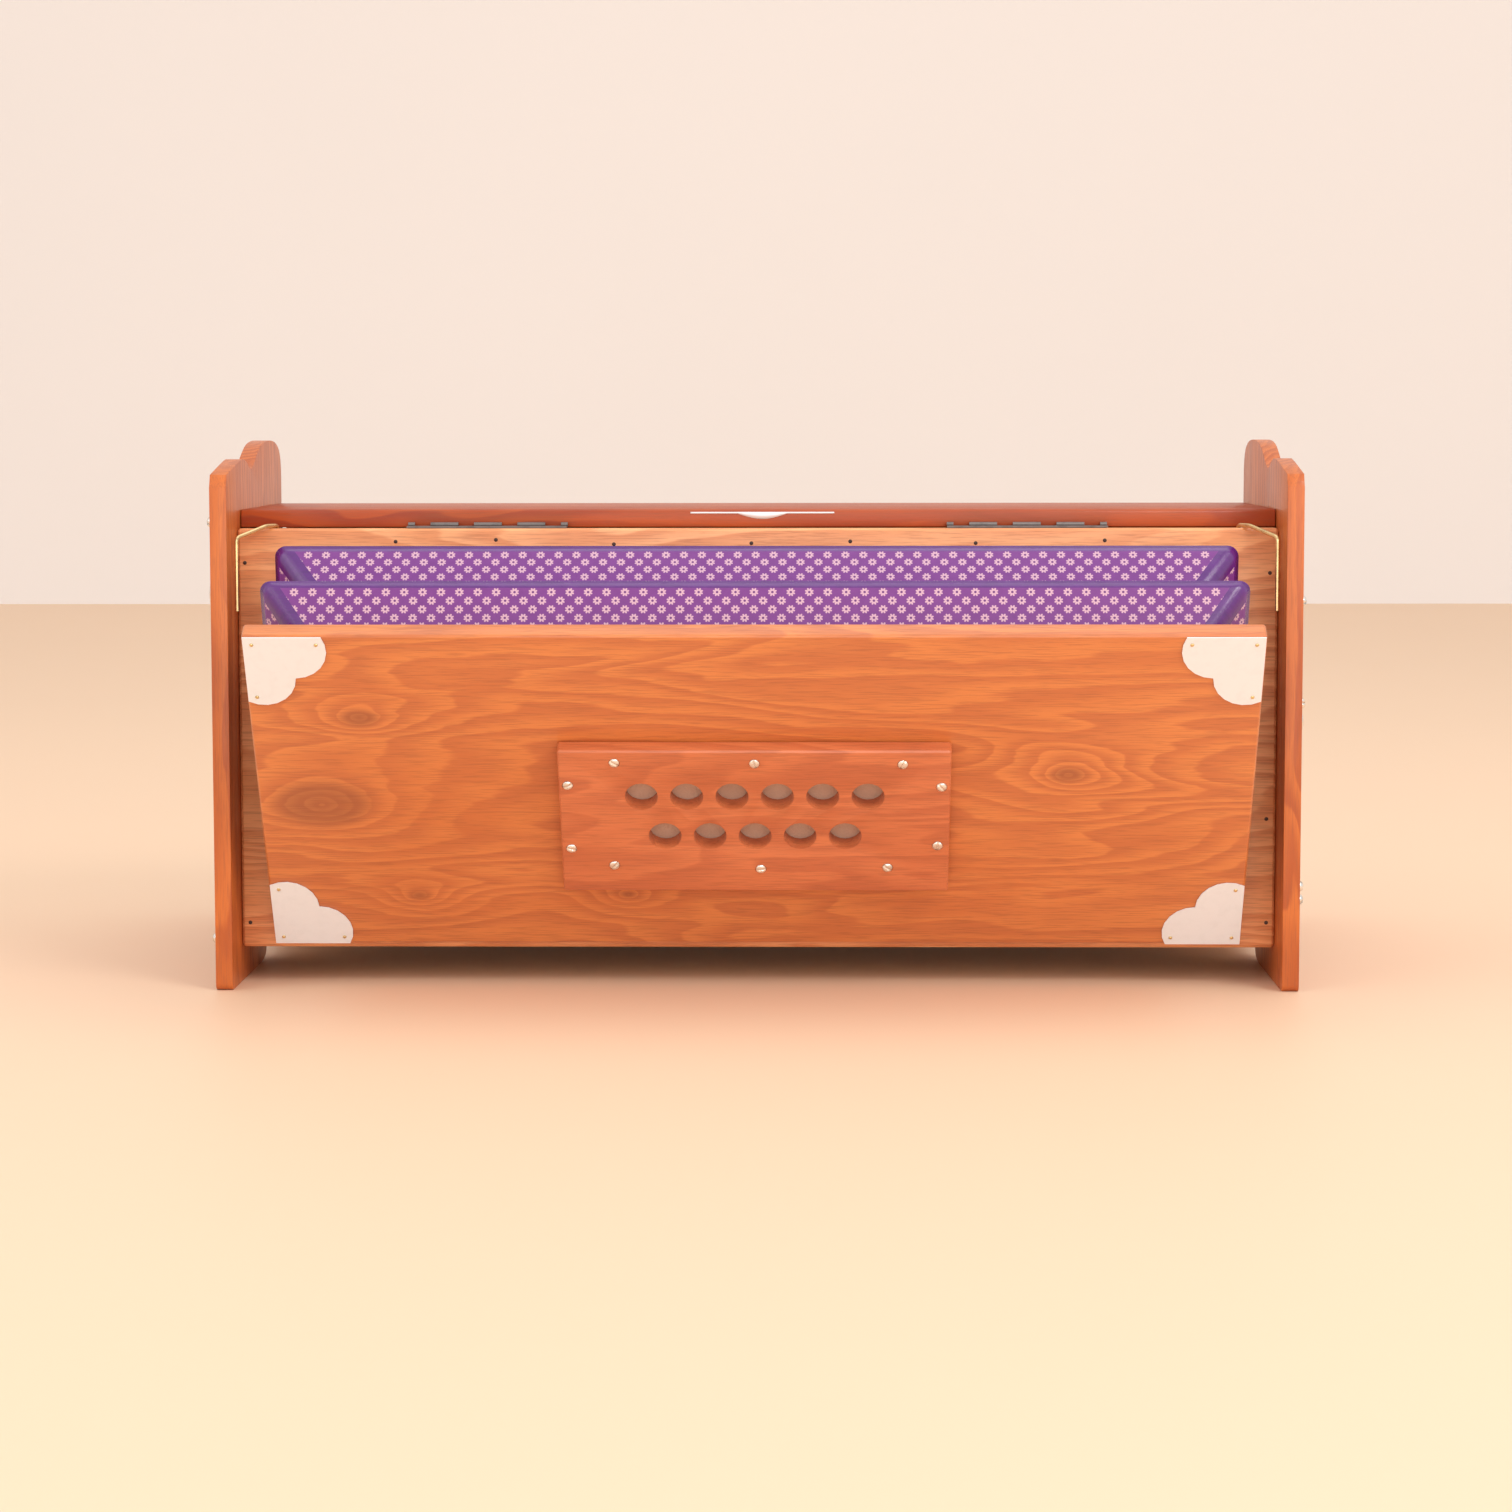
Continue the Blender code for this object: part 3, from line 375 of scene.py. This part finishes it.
# suede of the valve flap: a fine nap over slow patches
suedeLook = {
    "pale": (0.78, 0.60, 0.48), "brown": (0.58, 0.41, 0.31), "deep": (0.20, 0.12, 0.09),
    "nap": 900.0, "patches": 40.0, "napShare": 0.4, "roughness": 0.95, "sheen": 0.4,
    "bump": 0.5, "bumpDepth": 0.0006,
}


def suedeMaterial():
    look = suedeLook
    suede, tree, shader = newMaterial("suede", look["roughness"])
    place = objectPlace(tree)
    nap = noiseOf(tree, place, look["nap"], detail=4.0, roughness=0.7)
    patch = noiseOf(tree, place, look["patches"], roughness=0.6)
    base = blendColour(tree, patch, look["pale"], look["brown"])
    napped = blendColour(tree, times(tree, nap, look["napShare"]), base, look["deep"])
    put(tree, shader.inputs["Base Color"], napped)
    shader.inputs["Sheen Weight"].default_value = look["sheen"]
    bumpOf(tree, shader, nap, look["bump"], look["bumpDepth"])
    return suede


finishes["suede"] = suedeMaterial()


# small daisies in staggered rows: petals are where the radius is under a rim that waves with the angle
daisy = {
    "pitch": 0.0100, "rowPitch": 0.0050,
    "petalPairs": 4.0, "rim": 0.00120, "petal": 0.00130, "petalRoundness": 0.8, "edge": 0.0001,
    "centreFrom": 0.0006, "centreTo": 0.0008,
}


def makeDaisyPrint():
    tree, given, result = newGroup(
        "daisyPrint",
        [("Across", "NodeSocketFloat"), ("Down", "NodeSocketFloat")],
        [("Petals", "NodeSocketFloat"), ("Centre", "NodeSocketFloat")],
    )
    row = calc(tree, "DIVIDE", given["Down"], daisy["rowPitch"])
    rowNumber = calc(tree, "ABSOLUTE", calc(tree, "FLOOR", row))
    shift = times(tree, calc(tree, "MODULO", rowNumber, 2.0), 0.5)
    cell = calc(tree, "FRACT", add(tree, calc(tree, "DIVIDE", given["Across"], daisy["pitch"]), shift))
    x = times(tree, less(tree, cell, 0.5), daisy["pitch"])
    y = times(tree, less(tree, calc(tree, "FRACT", row), 0.5), daisy["rowPitch"])
    radius = calc(tree, "SQRT", add(tree, times(tree, x, x), times(tree, y, y)))
    angle = calc(tree, "ARCTAN2", y, x)
    wave = calc(tree, "ABSOLUTE", calc(tree, "SINE", times(tree, angle, daisy["petalPairs"])))
    wave = calc(tree, "POWER", wave, daisy["petalRoundness"])
    rim = add(tree, daisy["rim"], times(tree, wave, daisy["petal"]))
    outside = fade(tree, less(tree, radius, rim), -daisy["edge"], daisy["edge"])
    put(tree, result["Petals"], less(tree, 1.0, outside))
    put(tree, result["Centre"], less(tree, 1.0, fade(tree, radius, daisy["centreFrom"], daisy["centreTo"])))
    return tree


daisyPrint = makeDaisyPrint()

# printed cloth: daisies on purple, with plain shiny tape along each ridge and on the mitres
clothLook = {
    "ground": (0.145, 0.018, 0.190), "groundPale": (0.205, 0.036, 0.260),
    "petals": (0.62, 0.38, 0.48), "centre": (0.13, 0.02, 0.17),
    "tape": (0.060, 0.004, 0.120), "tapePale": (0.130, 0.012, 0.230),
    "tapeFrom": 0.0036, "tapeTo": 0.0040, "folds": 130.0, "creases": (60.0, 300.0, 1.0),
    "roughness": 0.46, "tapeShine": 0.24, "coat": 0.15, "tapeCoat": 0.5, "coatRoughness": 0.25,
    "creaseBump": 0.6, "bump": 0.25, "bumpDepth": 0.0010,
}


def uvPlace(tree, label):
    node = tree.nodes.new("ShaderNodeUVMap")
    node.uv_map = label
    return node.outputs[0]


def clothMaterial():
    look = clothLook
    cloth, tree, shader = newMaterial("bellowsCloth", coatRoughness=look["coatRoughness"])
    place = uvPlace(tree, "cloth")
    onCloth = partsOf(tree, place)
    onEdges = partsOf(tree, uvPlace(tree, "edges"))
    daisies = useGroup(tree, daisyPrint, Across=onCloth[0], Down=onCloth[1])
    fold = noiseOf(tree, place, look["folds"], roughness=0.6)
    ground = blendColour(tree, fold, look["ground"], look["groundPale"])
    printed = blendColour(tree, daisies["Petals"], ground, look["petals"])
    printed = blendColour(tree, daisies["Centre"], printed, look["centre"])
    nearest = calc(tree, "MINIMUM", onEdges[0], onEdges[1])
    tape = less(tree, 1.0, fade(tree, nearest, look["tapeFrom"], look["tapeTo"]))
    crease = stretch(tree, place, look["creases"])
    crease = noiseOf(tree, crease, detail=4.0, roughness=0.6, distortion=0.5)
    taped = blendColour(tree, crease, look["tape"], look["tapePale"])
    put(tree, shader.inputs["Base Color"], blendColour(tree, tape, printed, taped))
    shine = times(tree, tape, look["tapeShine"])
    put(tree, shader.inputs["Roughness"], less(tree, look["roughness"], shine))
    put(tree, shader.inputs["Coat Weight"], add(tree, look["coat"], times(tree, tape, look["tapeCoat"])))
    height = add(tree, times(tree, crease, look["creaseBump"]), fold)
    bumpOf(tree, shader, height, look["bump"], look["bumpDepth"])
    return cloth


finishes["bellowsCloth"] = clothMaterial()

# key covers over plain wood: a cover is where the key is both high and forward, or past its tip
keyLooks = {
    "keyWhite": {
        "colour": (0.84, 0.80, 0.70), "roughness": 0.22,
        "forward": 0.209 + caseShift, "high": 0.2192, "tip": 0.3095 + caseShift,
    },
    "keyBlack": {
        "colour": (0.018, 0.016, 0.015), "roughness": 0.28,
        "forward": 0.2075 + caseShift, "high": 0.0, "tip": 0.5,
    },
    "stopBlack": {"colour": (0.022, 0.018, 0.016), "roughness": 0.18},
}
keyFinish = {
    "cloud": 60.0, "shade": 0.93, "edge": 0.0001, "coat": 0.3, "grain": (900.0, 25.0, 900.0),
    "wood": (0.72, 0.50, 0.28), "woodDark": (0.52, 0.32, 0.16),
    "dimples": 700.0, "bump": 0.03, "bumpDepth": 0.0002,
}


def keyMaterial(name, look):
    finish = keyFinish
    key, tree, shader = newMaterial(name, look["roughness"], coat=finish["coat"])
    place = objectPlace(tree)
    cloud = noiseOf(tree, place, finish["cloud"])
    shaded = tuple(c * finish["shade"] for c in look["colour"])
    colour = blendColour(tree, cloud, look["colour"], shaded)
    if "forward" in look:
        axes, edge = partsOf(tree, place), finish["edge"]
        high = fade(tree, axes[2], look["high"] - edge, look["high"] + edge)
        forward = fade(tree, axes[1], look["forward"] - edge, look["forward"] + edge)
        tip = fade(tree, axes[1], look["tip"] - edge, look["tip"] + edge)
        covered = calc(tree, "MAXIMUM", times(tree, high, forward), tip)
        grain = noiseOf(tree, stretch(tree, place, finish["grain"]), roughness=0.6)
        wood = blendColour(tree, grain, finish["wood"], finish["woodDark"])
        colour = blendColour(tree, covered, wood, colour)
    put(tree, shader.inputs["Base Color"], colour)
    dimples = noiseOf(tree, place, finish["dimples"], detail=2.0)
    bumpOf(tree, shader, dimples, finish["bump"], finish["bumpDepth"])
    return key


for name, look in keyLooks.items():
    finishes[name] = keyMaterial(name, look)
print("materials made")


# rounding of wooden edges: angles in degrees
rounding = {"weld": 1e-6, "flatWithin": 0.5, "sharpFrom": 35.0, "smoothUnder": 40.0, "segments": 2}


def edgeAngle(edge):
    return edge.calc_face_angle(0.0)


# a rounded copy of a CAD node: its triangles merged to flat faces, its sharp edges rounded
def roundedNode(name, body, material, width):
    data = nodes[name].data.copy()
    data.name = name + ".fine"
    mesh = bmesh.new()
    mesh.from_mesh(data)
    bmesh.ops.remove_doubles(mesh, verts=mesh.verts, dist=rounding["weld"])
    flat = radians(rounding["flatWithin"])
    bmesh.ops.dissolve_limit(mesh, angle_limit=flat, verts=mesh.verts, edges=mesh.edges)
    sharpFrom = radians(rounding["sharpFrom"])
    sharp = [e for e in mesh.edges if len(e.link_faces) == 2 and edgeAngle(e) > sharpFrom]
    if width > 0:
        bmesh.ops.bevel(
            mesh, geom=sharp, offset=width, offset_type="OFFSET", segments=rounding["segments"],
            profile=0.5, affect="EDGES", clamp_overlap=True,
        )
    for face in mesh.faces:
        face.smooth = True
    smoothUnder = radians(rounding["smoothUnder"])
    for edge in mesh.edges:
        edge.smooth = len(edge.link_faces) == 2 and edgeAngle(edge) < smoothUnder
    mesh.to_mesh(data)
    mesh.free()
    data.materials.clear()
    data.materials.append(material)
    piece = bpy.data.objects.new(name + ".fine", data)
    bpy.context.scene.collection.objects.link(piece)
    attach(piece, body)
    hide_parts(name)


# each piece of wood: its body, slot, finish and the rounding of its edges
woodPieces = {
    "left_cheek": ("case", "teak", "cheekTeak", 0.0009),
    "right_cheek": ("case", "teak", "cheekTeak", 0.0009),
    "base_board": ("case", "inner_wood", "innerPine", 0.0006),
    "bellows_frame": ("case", "teak", "frameTeak", 0.0004),
    "front_board": ("case", "teak", "railTeak", 0.0003),
    "reed_board": ("case", "inner_wood", "innerPine", 0.0),
    "lid": ("lid", "teak", "railTeak", 0.0008),
    "bellows_board": ("bellows_board", "teak", "boardTeak", 0.0004),
    "vent_plate": ("bellows_board", "teak", "plateTeak", 0.0005),
    "reservoir_board": ("reservoir_board", "inner_wood", "innerPine", 0.0006),
}
for name, (body, slot, finish, width) in woodPieces.items():
    roundedNode(name, body, finishes[finish], width)

# keys: slot, finish and the rounding of their edges; each key is a body of its own
sharpKey = ("key_black", "keyBlack", 0.0008)
naturalKey = ("key_white", "keyWhite", 0.0006)
for name in sorted(n for n in nodes if n.startswith("key_")):
    slot, finish, width = sharpKey if "_sharp" in name else naturalKey
    roundedNode(name, name, finishes[finish], width)
print("wood and keys finished")

# CAD nodes whose shape stays get their finish
keptFinish = {
    "hingeSteel": ["left_lid_hinge", "right_lid_hinge"],
    "suede": ["valve_flap"],
    "brassWire": ["left_latch", "right_latch"],
    "stopBlack": ["stop_knob_1", "stop_knob_2"],
    "plateMetal": [f"corner_plate_{end}_{side}" for end in ("top", "bottom") for side in ("left", "right")],
}
for finish, names in keptFinish.items():
    for name in names:
        nodes[name].data.materials.clear()
        nodes[name].data.materials.append(finishes[finish])


# a mesh from a grid of points, rows along u and columns along v: each face joins four neighbours
# closeV joins the last column to the first, and maps holds UV maps in metres, a value for each point
def gridPiece(name, points, material, closeV=False, maps=None):
    rows, columns = points.shape[:2]
    index = np.arange(rows * columns).reshape(rows, columns)
    if closeV:
        index = np.concatenate([index, index[:, :1]], axis=1)
    corners = [index[:-1, :-1], index[1:, :-1], index[1:, 1:], index[:-1, 1:]]
    quads = np.stack(corners, axis=-1).reshape(-1, 4)
    data = bpy.data.meshes.new(name)
    data.from_pydata(points.reshape(-1, 3).tolist(), [], quads.tolist())
    for label, values in (maps or {}).items():
        layer = data.uv_layers.new(name=label)
        corner = np.zeros(len(data.loops), np.int32)
        data.loops.foreach_get("vertex_index", corner)
        layer.data.foreach_set("uv", values.reshape(-1, 2)[corner].astype(np.float32).ravel())
    data.shade_smooth()
    data.materials.append(material)
    piece = bpy.data.objects.new(name, data)
    bpy.context.scene.collection.objects.link(piece)
    return piece


def thicken(piece, thickness):
    wall = piece.modifiers.new("thickness", "SOLIDIFY")
    wall.thickness = thickness
    wall.offset = 0.0


# bellows cloth, in three strips that each reach between two bodies but are attached to neither: name, first
# and last angle in degrees, bodies
bellows = {
    "halfWidth": 0.2690, "top": 0.2225, "foot": 0.024, "pleat": 0.028, "corner": 0.006, "cloth": 0.0006,
    "stepsAcross": 90, "stepsSide": 30, "stepsCorner": 7, "stepsHalfFold": 10, "halfFold": 8.0,
    "slant": 0.042,  # of the print from a ridge to a valley
    "printStart": 0.0012, "mitreTape": 0.005, "blendRadius": 0.2,
    "strips": [
        ("bellows_cloth_back", 0.0, 8.0, ("case", "bellows_fold_1")),
        ("bellows_cloth_middle", 8.0, 24.0, ("bellows_fold_1", "bellows_fold_2")),
        ("bellows_cloth_front", 24.0, 32.0, ("bellows_fold_2", "bellows_board")),
    ],
}


# the outline in a plane through the hinge line: straight up one side, a quarter circle, straight across
# the top, a quarter circle and down; gives x, and the height above the hinge line
def bellowsOutline(inset):
    half, top, corner = bellows["halfWidth"] - inset, bellows["top"] - inset, bellows["corner"]
    up = np.linspace(bellows["foot"], top - corner, bellows["stepsSide"])
    turn = np.linspace(0, pi / 2, bellows["stepsCorner"])[1:-1]
    over = np.linspace(-half + corner, half - corner, bellows["stepsAcross"])
    x = np.concatenate([
        np.full(up.shape, -half), -half + corner - corner * np.cos(turn), over,
        half - corner + corner * np.sin(turn), np.full(up.shape, half),
    ])
    z = np.concatenate([
        up, top - corner + corner * np.sin(turn), np.full(over.shape, top),
        top - corner + corner * np.cos(turn), up[::-1],
    ])
    return x, z


# how far the outline draws in: a triangle wave of the angle, nothing at a ridge, the pleat at a valley
def pleatInset(angle):
    return bellows["pleat"] * np.abs(((angle / restAngle * 2) % 1.0) * 2 - 1)


# one strip: the outline, drawn in by the wave, swung about the hinge line from the first angle to the last
def bellowsCloth(name, first, last, bodies):
    rows = bellows["stepsHalfFold"] * round((last - first) / bellows["halfFold"]) + 1
    angles = np.radians(np.linspace(first, last, rows))
    rings, clothMap, edgeMap = [], [], []
    for angle, depth in zip(angles, pleatInset(angles)):
        x, z = bellowsOutline(depth)
        rings.append(np.stack([x, hingeLine[1] - z * sin(angle), hingeLine[2] + z * cos(angle)], axis=-1))
        spread = depth / bellows["pleat"] * bellows["slant"]
        onTop = np.abs(x) < bellows["halfWidth"] - depth - bellows["corner"] * 0.5
        down = np.full(x.shape, spread + bellows["printStart"])
        clothMap.append(np.stack([np.where(onTop, x, z), down], axis=-1))
        fromCorner = np.where(onTop, bellows["halfWidth"] - np.abs(x), bellows["top"] - z) - depth
        edges = [np.full(x.shape, spread), fromCorner - bellows["mitreTape"]]
        edgeMap.append(np.stack(edges, axis=-1))
    maps = {"cloth": np.array(clothMap), "edges": np.array(edgeMap)}
    piece = gridPiece(name, np.array(rings), finishes["bellowsCloth"], maps=maps)
    thicken(piece, bellows["cloth"])
    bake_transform(piece)
    return piece


strips = [bellowsCloth(*strip) for strip in bellows["strips"]]
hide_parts("bellows_fold_1", "bellows_fold_2")  # the middle strip stands for both folds
print("bellows cloth made")


# heads of screws, pins and nails
headShape = {"rings": 9, "sides": 24, "squareness": 4, "slotHalf": 0.17, "slotDepth": 0.55, "weld": 1e-7}


# a domed head: its height falls with the fourth power of the share of its radius, and a slotted one
# loses some of it along one line; tall stretches it, and its rim is closed by a flat face
def head(name, place, normal, style, body, turn=0.0):
    radius, height = style["radius"], style["height"]
    share = np.linspace(0, 1, headShape["rings"])
    angle = np.linspace(0, 2 * pi, headShape["sides"], endpoint=False)
    r, a = np.meshgrid(share * radius, angle, indexing="ij")
    dome = height * (1 - (r / radius) ** headShape["squareness"])
    x, y = r * np.cos(a), r * np.sin(a)
    if style.get("slotted"):
        inSlot = np.abs(x * sin(turn) + y * cos(turn)) < radius * headShape["slotHalf"]
        dome = dome - np.where(inSlot, height * headShape["slotDepth"], 0.0)
    z = np.maximum(dome, 0.0)
    normal = np.array(normal) / np.linalg.norm(normal)
    side = np.cross([0.0, 0.0, 1.0], normal)
    side = side / np.linalg.norm(side)
    up = np.cross(normal, side)
    tall = style.get("tall", 1.0)
    points = np.array(place) + x[..., None] * side + tall * y[..., None] * up + z[..., None] * normal
    piece = gridPiece(name, points, finishes[style["finish"]], closeV=True)
    mesh = bmesh.new()
    mesh.from_mesh(piece.data)
    bmesh.ops.remove_doubles(mesh, verts=mesh.verts, dist=headShape["weld"])
    rim = [e for e in mesh.edges if len(e.link_faces) == 1]
    bmesh.ops.contextual_create(mesh, geom=rim)
    bmesh.ops.recalc_face_normals(mesh, faces=mesh.faces)
    mesh.to_mesh(piece.data)
    mesh.free()
    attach(piece, body)


# the vent plate's screws: across the board and up along it
boardOut = np.array([0.0, -cos(restAngle), -sin(restAngle)])
ventScrews = {
    "style": {
        "radius": 0.0031, "height": 0.0012, "finish": "nickelScrew", "slot": "white_metal",
        "slotted": True,
    },
    "proud": 0.0098, "firstTurn": 0.6, "nextTurn": 0.7,
    "places": [
        (-0.0765, 0.1365), (0.0, 0.1360), (0.0810, 0.1355), (-0.1025, 0.121), (-0.1020, 0.077),
        (0.1025, 0.120), (0.1010, 0.079), (-0.0785, 0.0650), (0.0030, 0.0625), (0.0735, 0.0635),
    ],
}
for number, (x, up) in enumerate(ventScrews["places"]):
    turn = ventScrews["firstTurn"] + number * ventScrews["nextTurn"]
    place = boardPoint(x, up, ventScrews["proud"])
    head(f"vent_screw_{number + 1}", place, boardOut, ventScrews["style"], "bellows_board", turn)

# three pins in each corner plate, near and far from the board's corner
cornerPins = {
    "style": {"radius": 0.0011, "height": 0.0006, "finish": "brassWire", "slot": "brass"},
    "proud": 0.0009, "plateInset": 0.0006, "near": 0.0048, "far": 0.0394,
}
near, far = cornerPins["near"], cornerPins["far"]
for sideNumber, side in enumerate((-1, 1)):
    for end in ("top", "bottom"):
        for pinNumber, (inward, along) in enumerate(((near, near), (far, near), (near, far))):
            x = side * (boardHalf - cornerPins["plateInset"] - inward)
            fromEnd = cornerPins["plateInset"] + along
            place = boardPoint(x, boardTop - fromEnd if end == "top" else fromEnd, cornerPins["proud"])
            name = f"corner_pin_{end}_{sideNumber}_{pinNumber}"
            head(name, place, boardOut, cornerPins["style"], "bellows_board")

# dark nail heads in the frame's rail and stiles: across and up
frameNails = {
    "style": {"radius": 0.0011, "height": 0.0002, "finish": "darkNail"},
    "proud": 0.00005,
    "places": [
        (-0.205, 0.252), (-0.148, 0.253), (-0.081, 0.2505), (-0.003, 0.251), (0.053, 0.252),
        (0.124, 0.251), (0.197, 0.2525), (-0.291, 0.240), (-0.2905, 0.034), (0.2905, 0.234),
        (0.290, 0.094), (0.2905, 0.0345),
    ],
}
for number, (x, z) in enumerate(frameNails["places"]):
    place = (x, frameFace - frameNails["proud"], z)
    head(f"frame_nail_{number + 1}", place, (0, -1, 0), frameNails["style"], "case")

# small screws and plates on the outsides of the cheeks, close to their front edges: side and height
sideFittings = {
    "outer": cadHigh[0], "behind": 0.0080, "firstTurn": 0.5,
    "screw": {
        "radius": 0.0034, "height": 0.0026, "finish": "nickelScrew", "slot": "white_metal",
        "slotted": True,
    },
    "plate": {"radius": 0.0042, "height": 0.0016, "finish": "nickelScrew", "slot": "white_metal"},
    "screws": [(-1, 0.2640), (-1, 0.0290), (1, 0.2195), (1, 0.1620), (1, 0.0590), (1, 0.0515)],
    "plates": [(-1, 0.2235, 2.0), (1, 0.1520, 1.4)],
}


def sideFitting(name, side, z, style, turn=0.0):
    place = (side * sideFittings["outer"], sideFittings["behind"] + caseShift, z)
    head(name, place, (side, 0, 0), style, "case", turn)


for number, (side, z) in enumerate(sideFittings["screws"]):
    turn = sideFittings["firstTurn"] + number
    sideFitting(f"side_screw_{number + 1}", side, z, sideFittings["screw"], turn)
for number, (side, z, tall) in enumerate(sideFittings["plates"]):
    sideFitting(f"side_plate_{number + 1}", side, z, {**sideFittings["plate"], "tall": tall})

# plain inlay along the lid's edge: a thin line whose lower side swells in one cosine arch at its middle
lidInlay = {
    "centre": 0.003, "half": 0.041, "down": 0.0016, "line": 0.0010, "bracket": 0.014, "swell": 0.0030,
    "thick": 0.0002, "proud": 0.0001, "steps": 83,
}
lidPoints = np.array([nodes["lid"].matrix_world @ v.co for v in nodes["lid"].data.vertices])
across = np.linspace(-lidInlay["half"], lidInlay["half"], lidInlay["steps"])
arch = np.clip(np.cos(across / lidInlay["bracket"] * pi / 2), 0, 1)
swell = lidInlay["swell"] * arch * (np.abs(across) < lidInlay["bracket"])
upper = np.full(across.shape, lidPoints[:, 2].max() - lidInlay["down"])
lower = upper - lidInlay["line"] - swell
face = np.full(across.shape, lidPoints[:, 1].min() - lidInlay["proud"])
sheet = np.stack([np.stack([across + lidInlay["centre"], face, z], axis=-1) for z in (lower, upper)])
inlay = gridPiece("lid_inlay", sheet, finishes["plateMetal"])
thicken(inlay, lidInlay["thick"])
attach(inlay, "lid")
print("fastenings made")


# floor, wall, world and lamps: each lamp's name, place, size in metres and watts
studio = {
    "half": 14.0, "wallBack": 4.3, "wallHeight": 6.0,
    "floorColour": (0.86, 0.62, 0.43), "wallColour": (0.92, 0.88, 0.86),
    "roughness": 0.55, "patches": 1.2, "shade": 0.97,
    "worldColour": (0.99, 0.97, 0.955), "worldStrength": 0.95,
    "lampColour": (1.0, 0.97, 0.94), "aim": (0.0, 0.0, 0.15),
    "lamps": [
        ("keyLamp", (1.9, -2.4, 2.2), 1.3, 42.0), ("fillLamp", (-2.4, -2.0, 1.8), 2.2, 14.0),
        ("topLamp", (0.3, 0.2, 2.8), 2.4, 16.0), ("lowLamp", (0.2, -2.9, 0.7), 1.8, 15.0),
    ],
}


def stagePlane(name, low, high, colour):
    material, tree, shader = newMaterial(name, studio["roughness"])
    soft = noiseOf(tree, objectPlace(tree), studio["patches"], detail=2.0)
    shaded = tuple(c * studio["shade"] for c in colour)
    put(tree, shader.inputs["Base Color"], blendColour(tree, soft, colour, shaded))
    corners = [low, (high[0], low[1], low[2]), high, (low[0], high[1], high[2])]
    data = bpy.data.meshes.new(name)
    data.from_pydata(corners, [], [(0, 1, 2, 3)])
    data.materials.append(material)
    plane = bpy.data.objects.new(name, data)
    bpy.context.scene.collection.objects.link(plane)


wide, wallBack = studio["half"], studio["wallBack"]
stagePlane("floor", (-wide, -wide, 0.0), (wide, wallBack, 0.0), studio["floorColour"])
stagePlane("wall", (-wide, wallBack, 0.0), (wide, wallBack, studio["wallHeight"]), studio["wallColour"])

world = bpy.data.worlds.new("studioLight")
world.use_nodes = True
background = world.node_tree.nodes["Background"]
background.inputs[0].default_value = (*studio["worldColour"], 1.0)
background.inputs[1].default_value = studio["worldStrength"]
bpy.context.scene.world = world

for name, place, size, power in studio["lamps"]:
    lampData = bpy.data.lights.new(name, "AREA")
    lampData.energy = power
    lampData.size = size
    lampData.color = studio["lampColour"]
    lamp = bpy.data.objects.new(name, lampData)
    lamp.location = place
    aim = np.array(studio["aim"]) - np.array(place)
    aim = aim / np.linalg.norm(aim)
    lamp.rotation_euler = (np.arccos(-aim[2]), 0.0, np.arctan2(aim[0], -aim[1]) + pi)
    bpy.context.scene.collection.objects.link(lamp)
print("studio made")
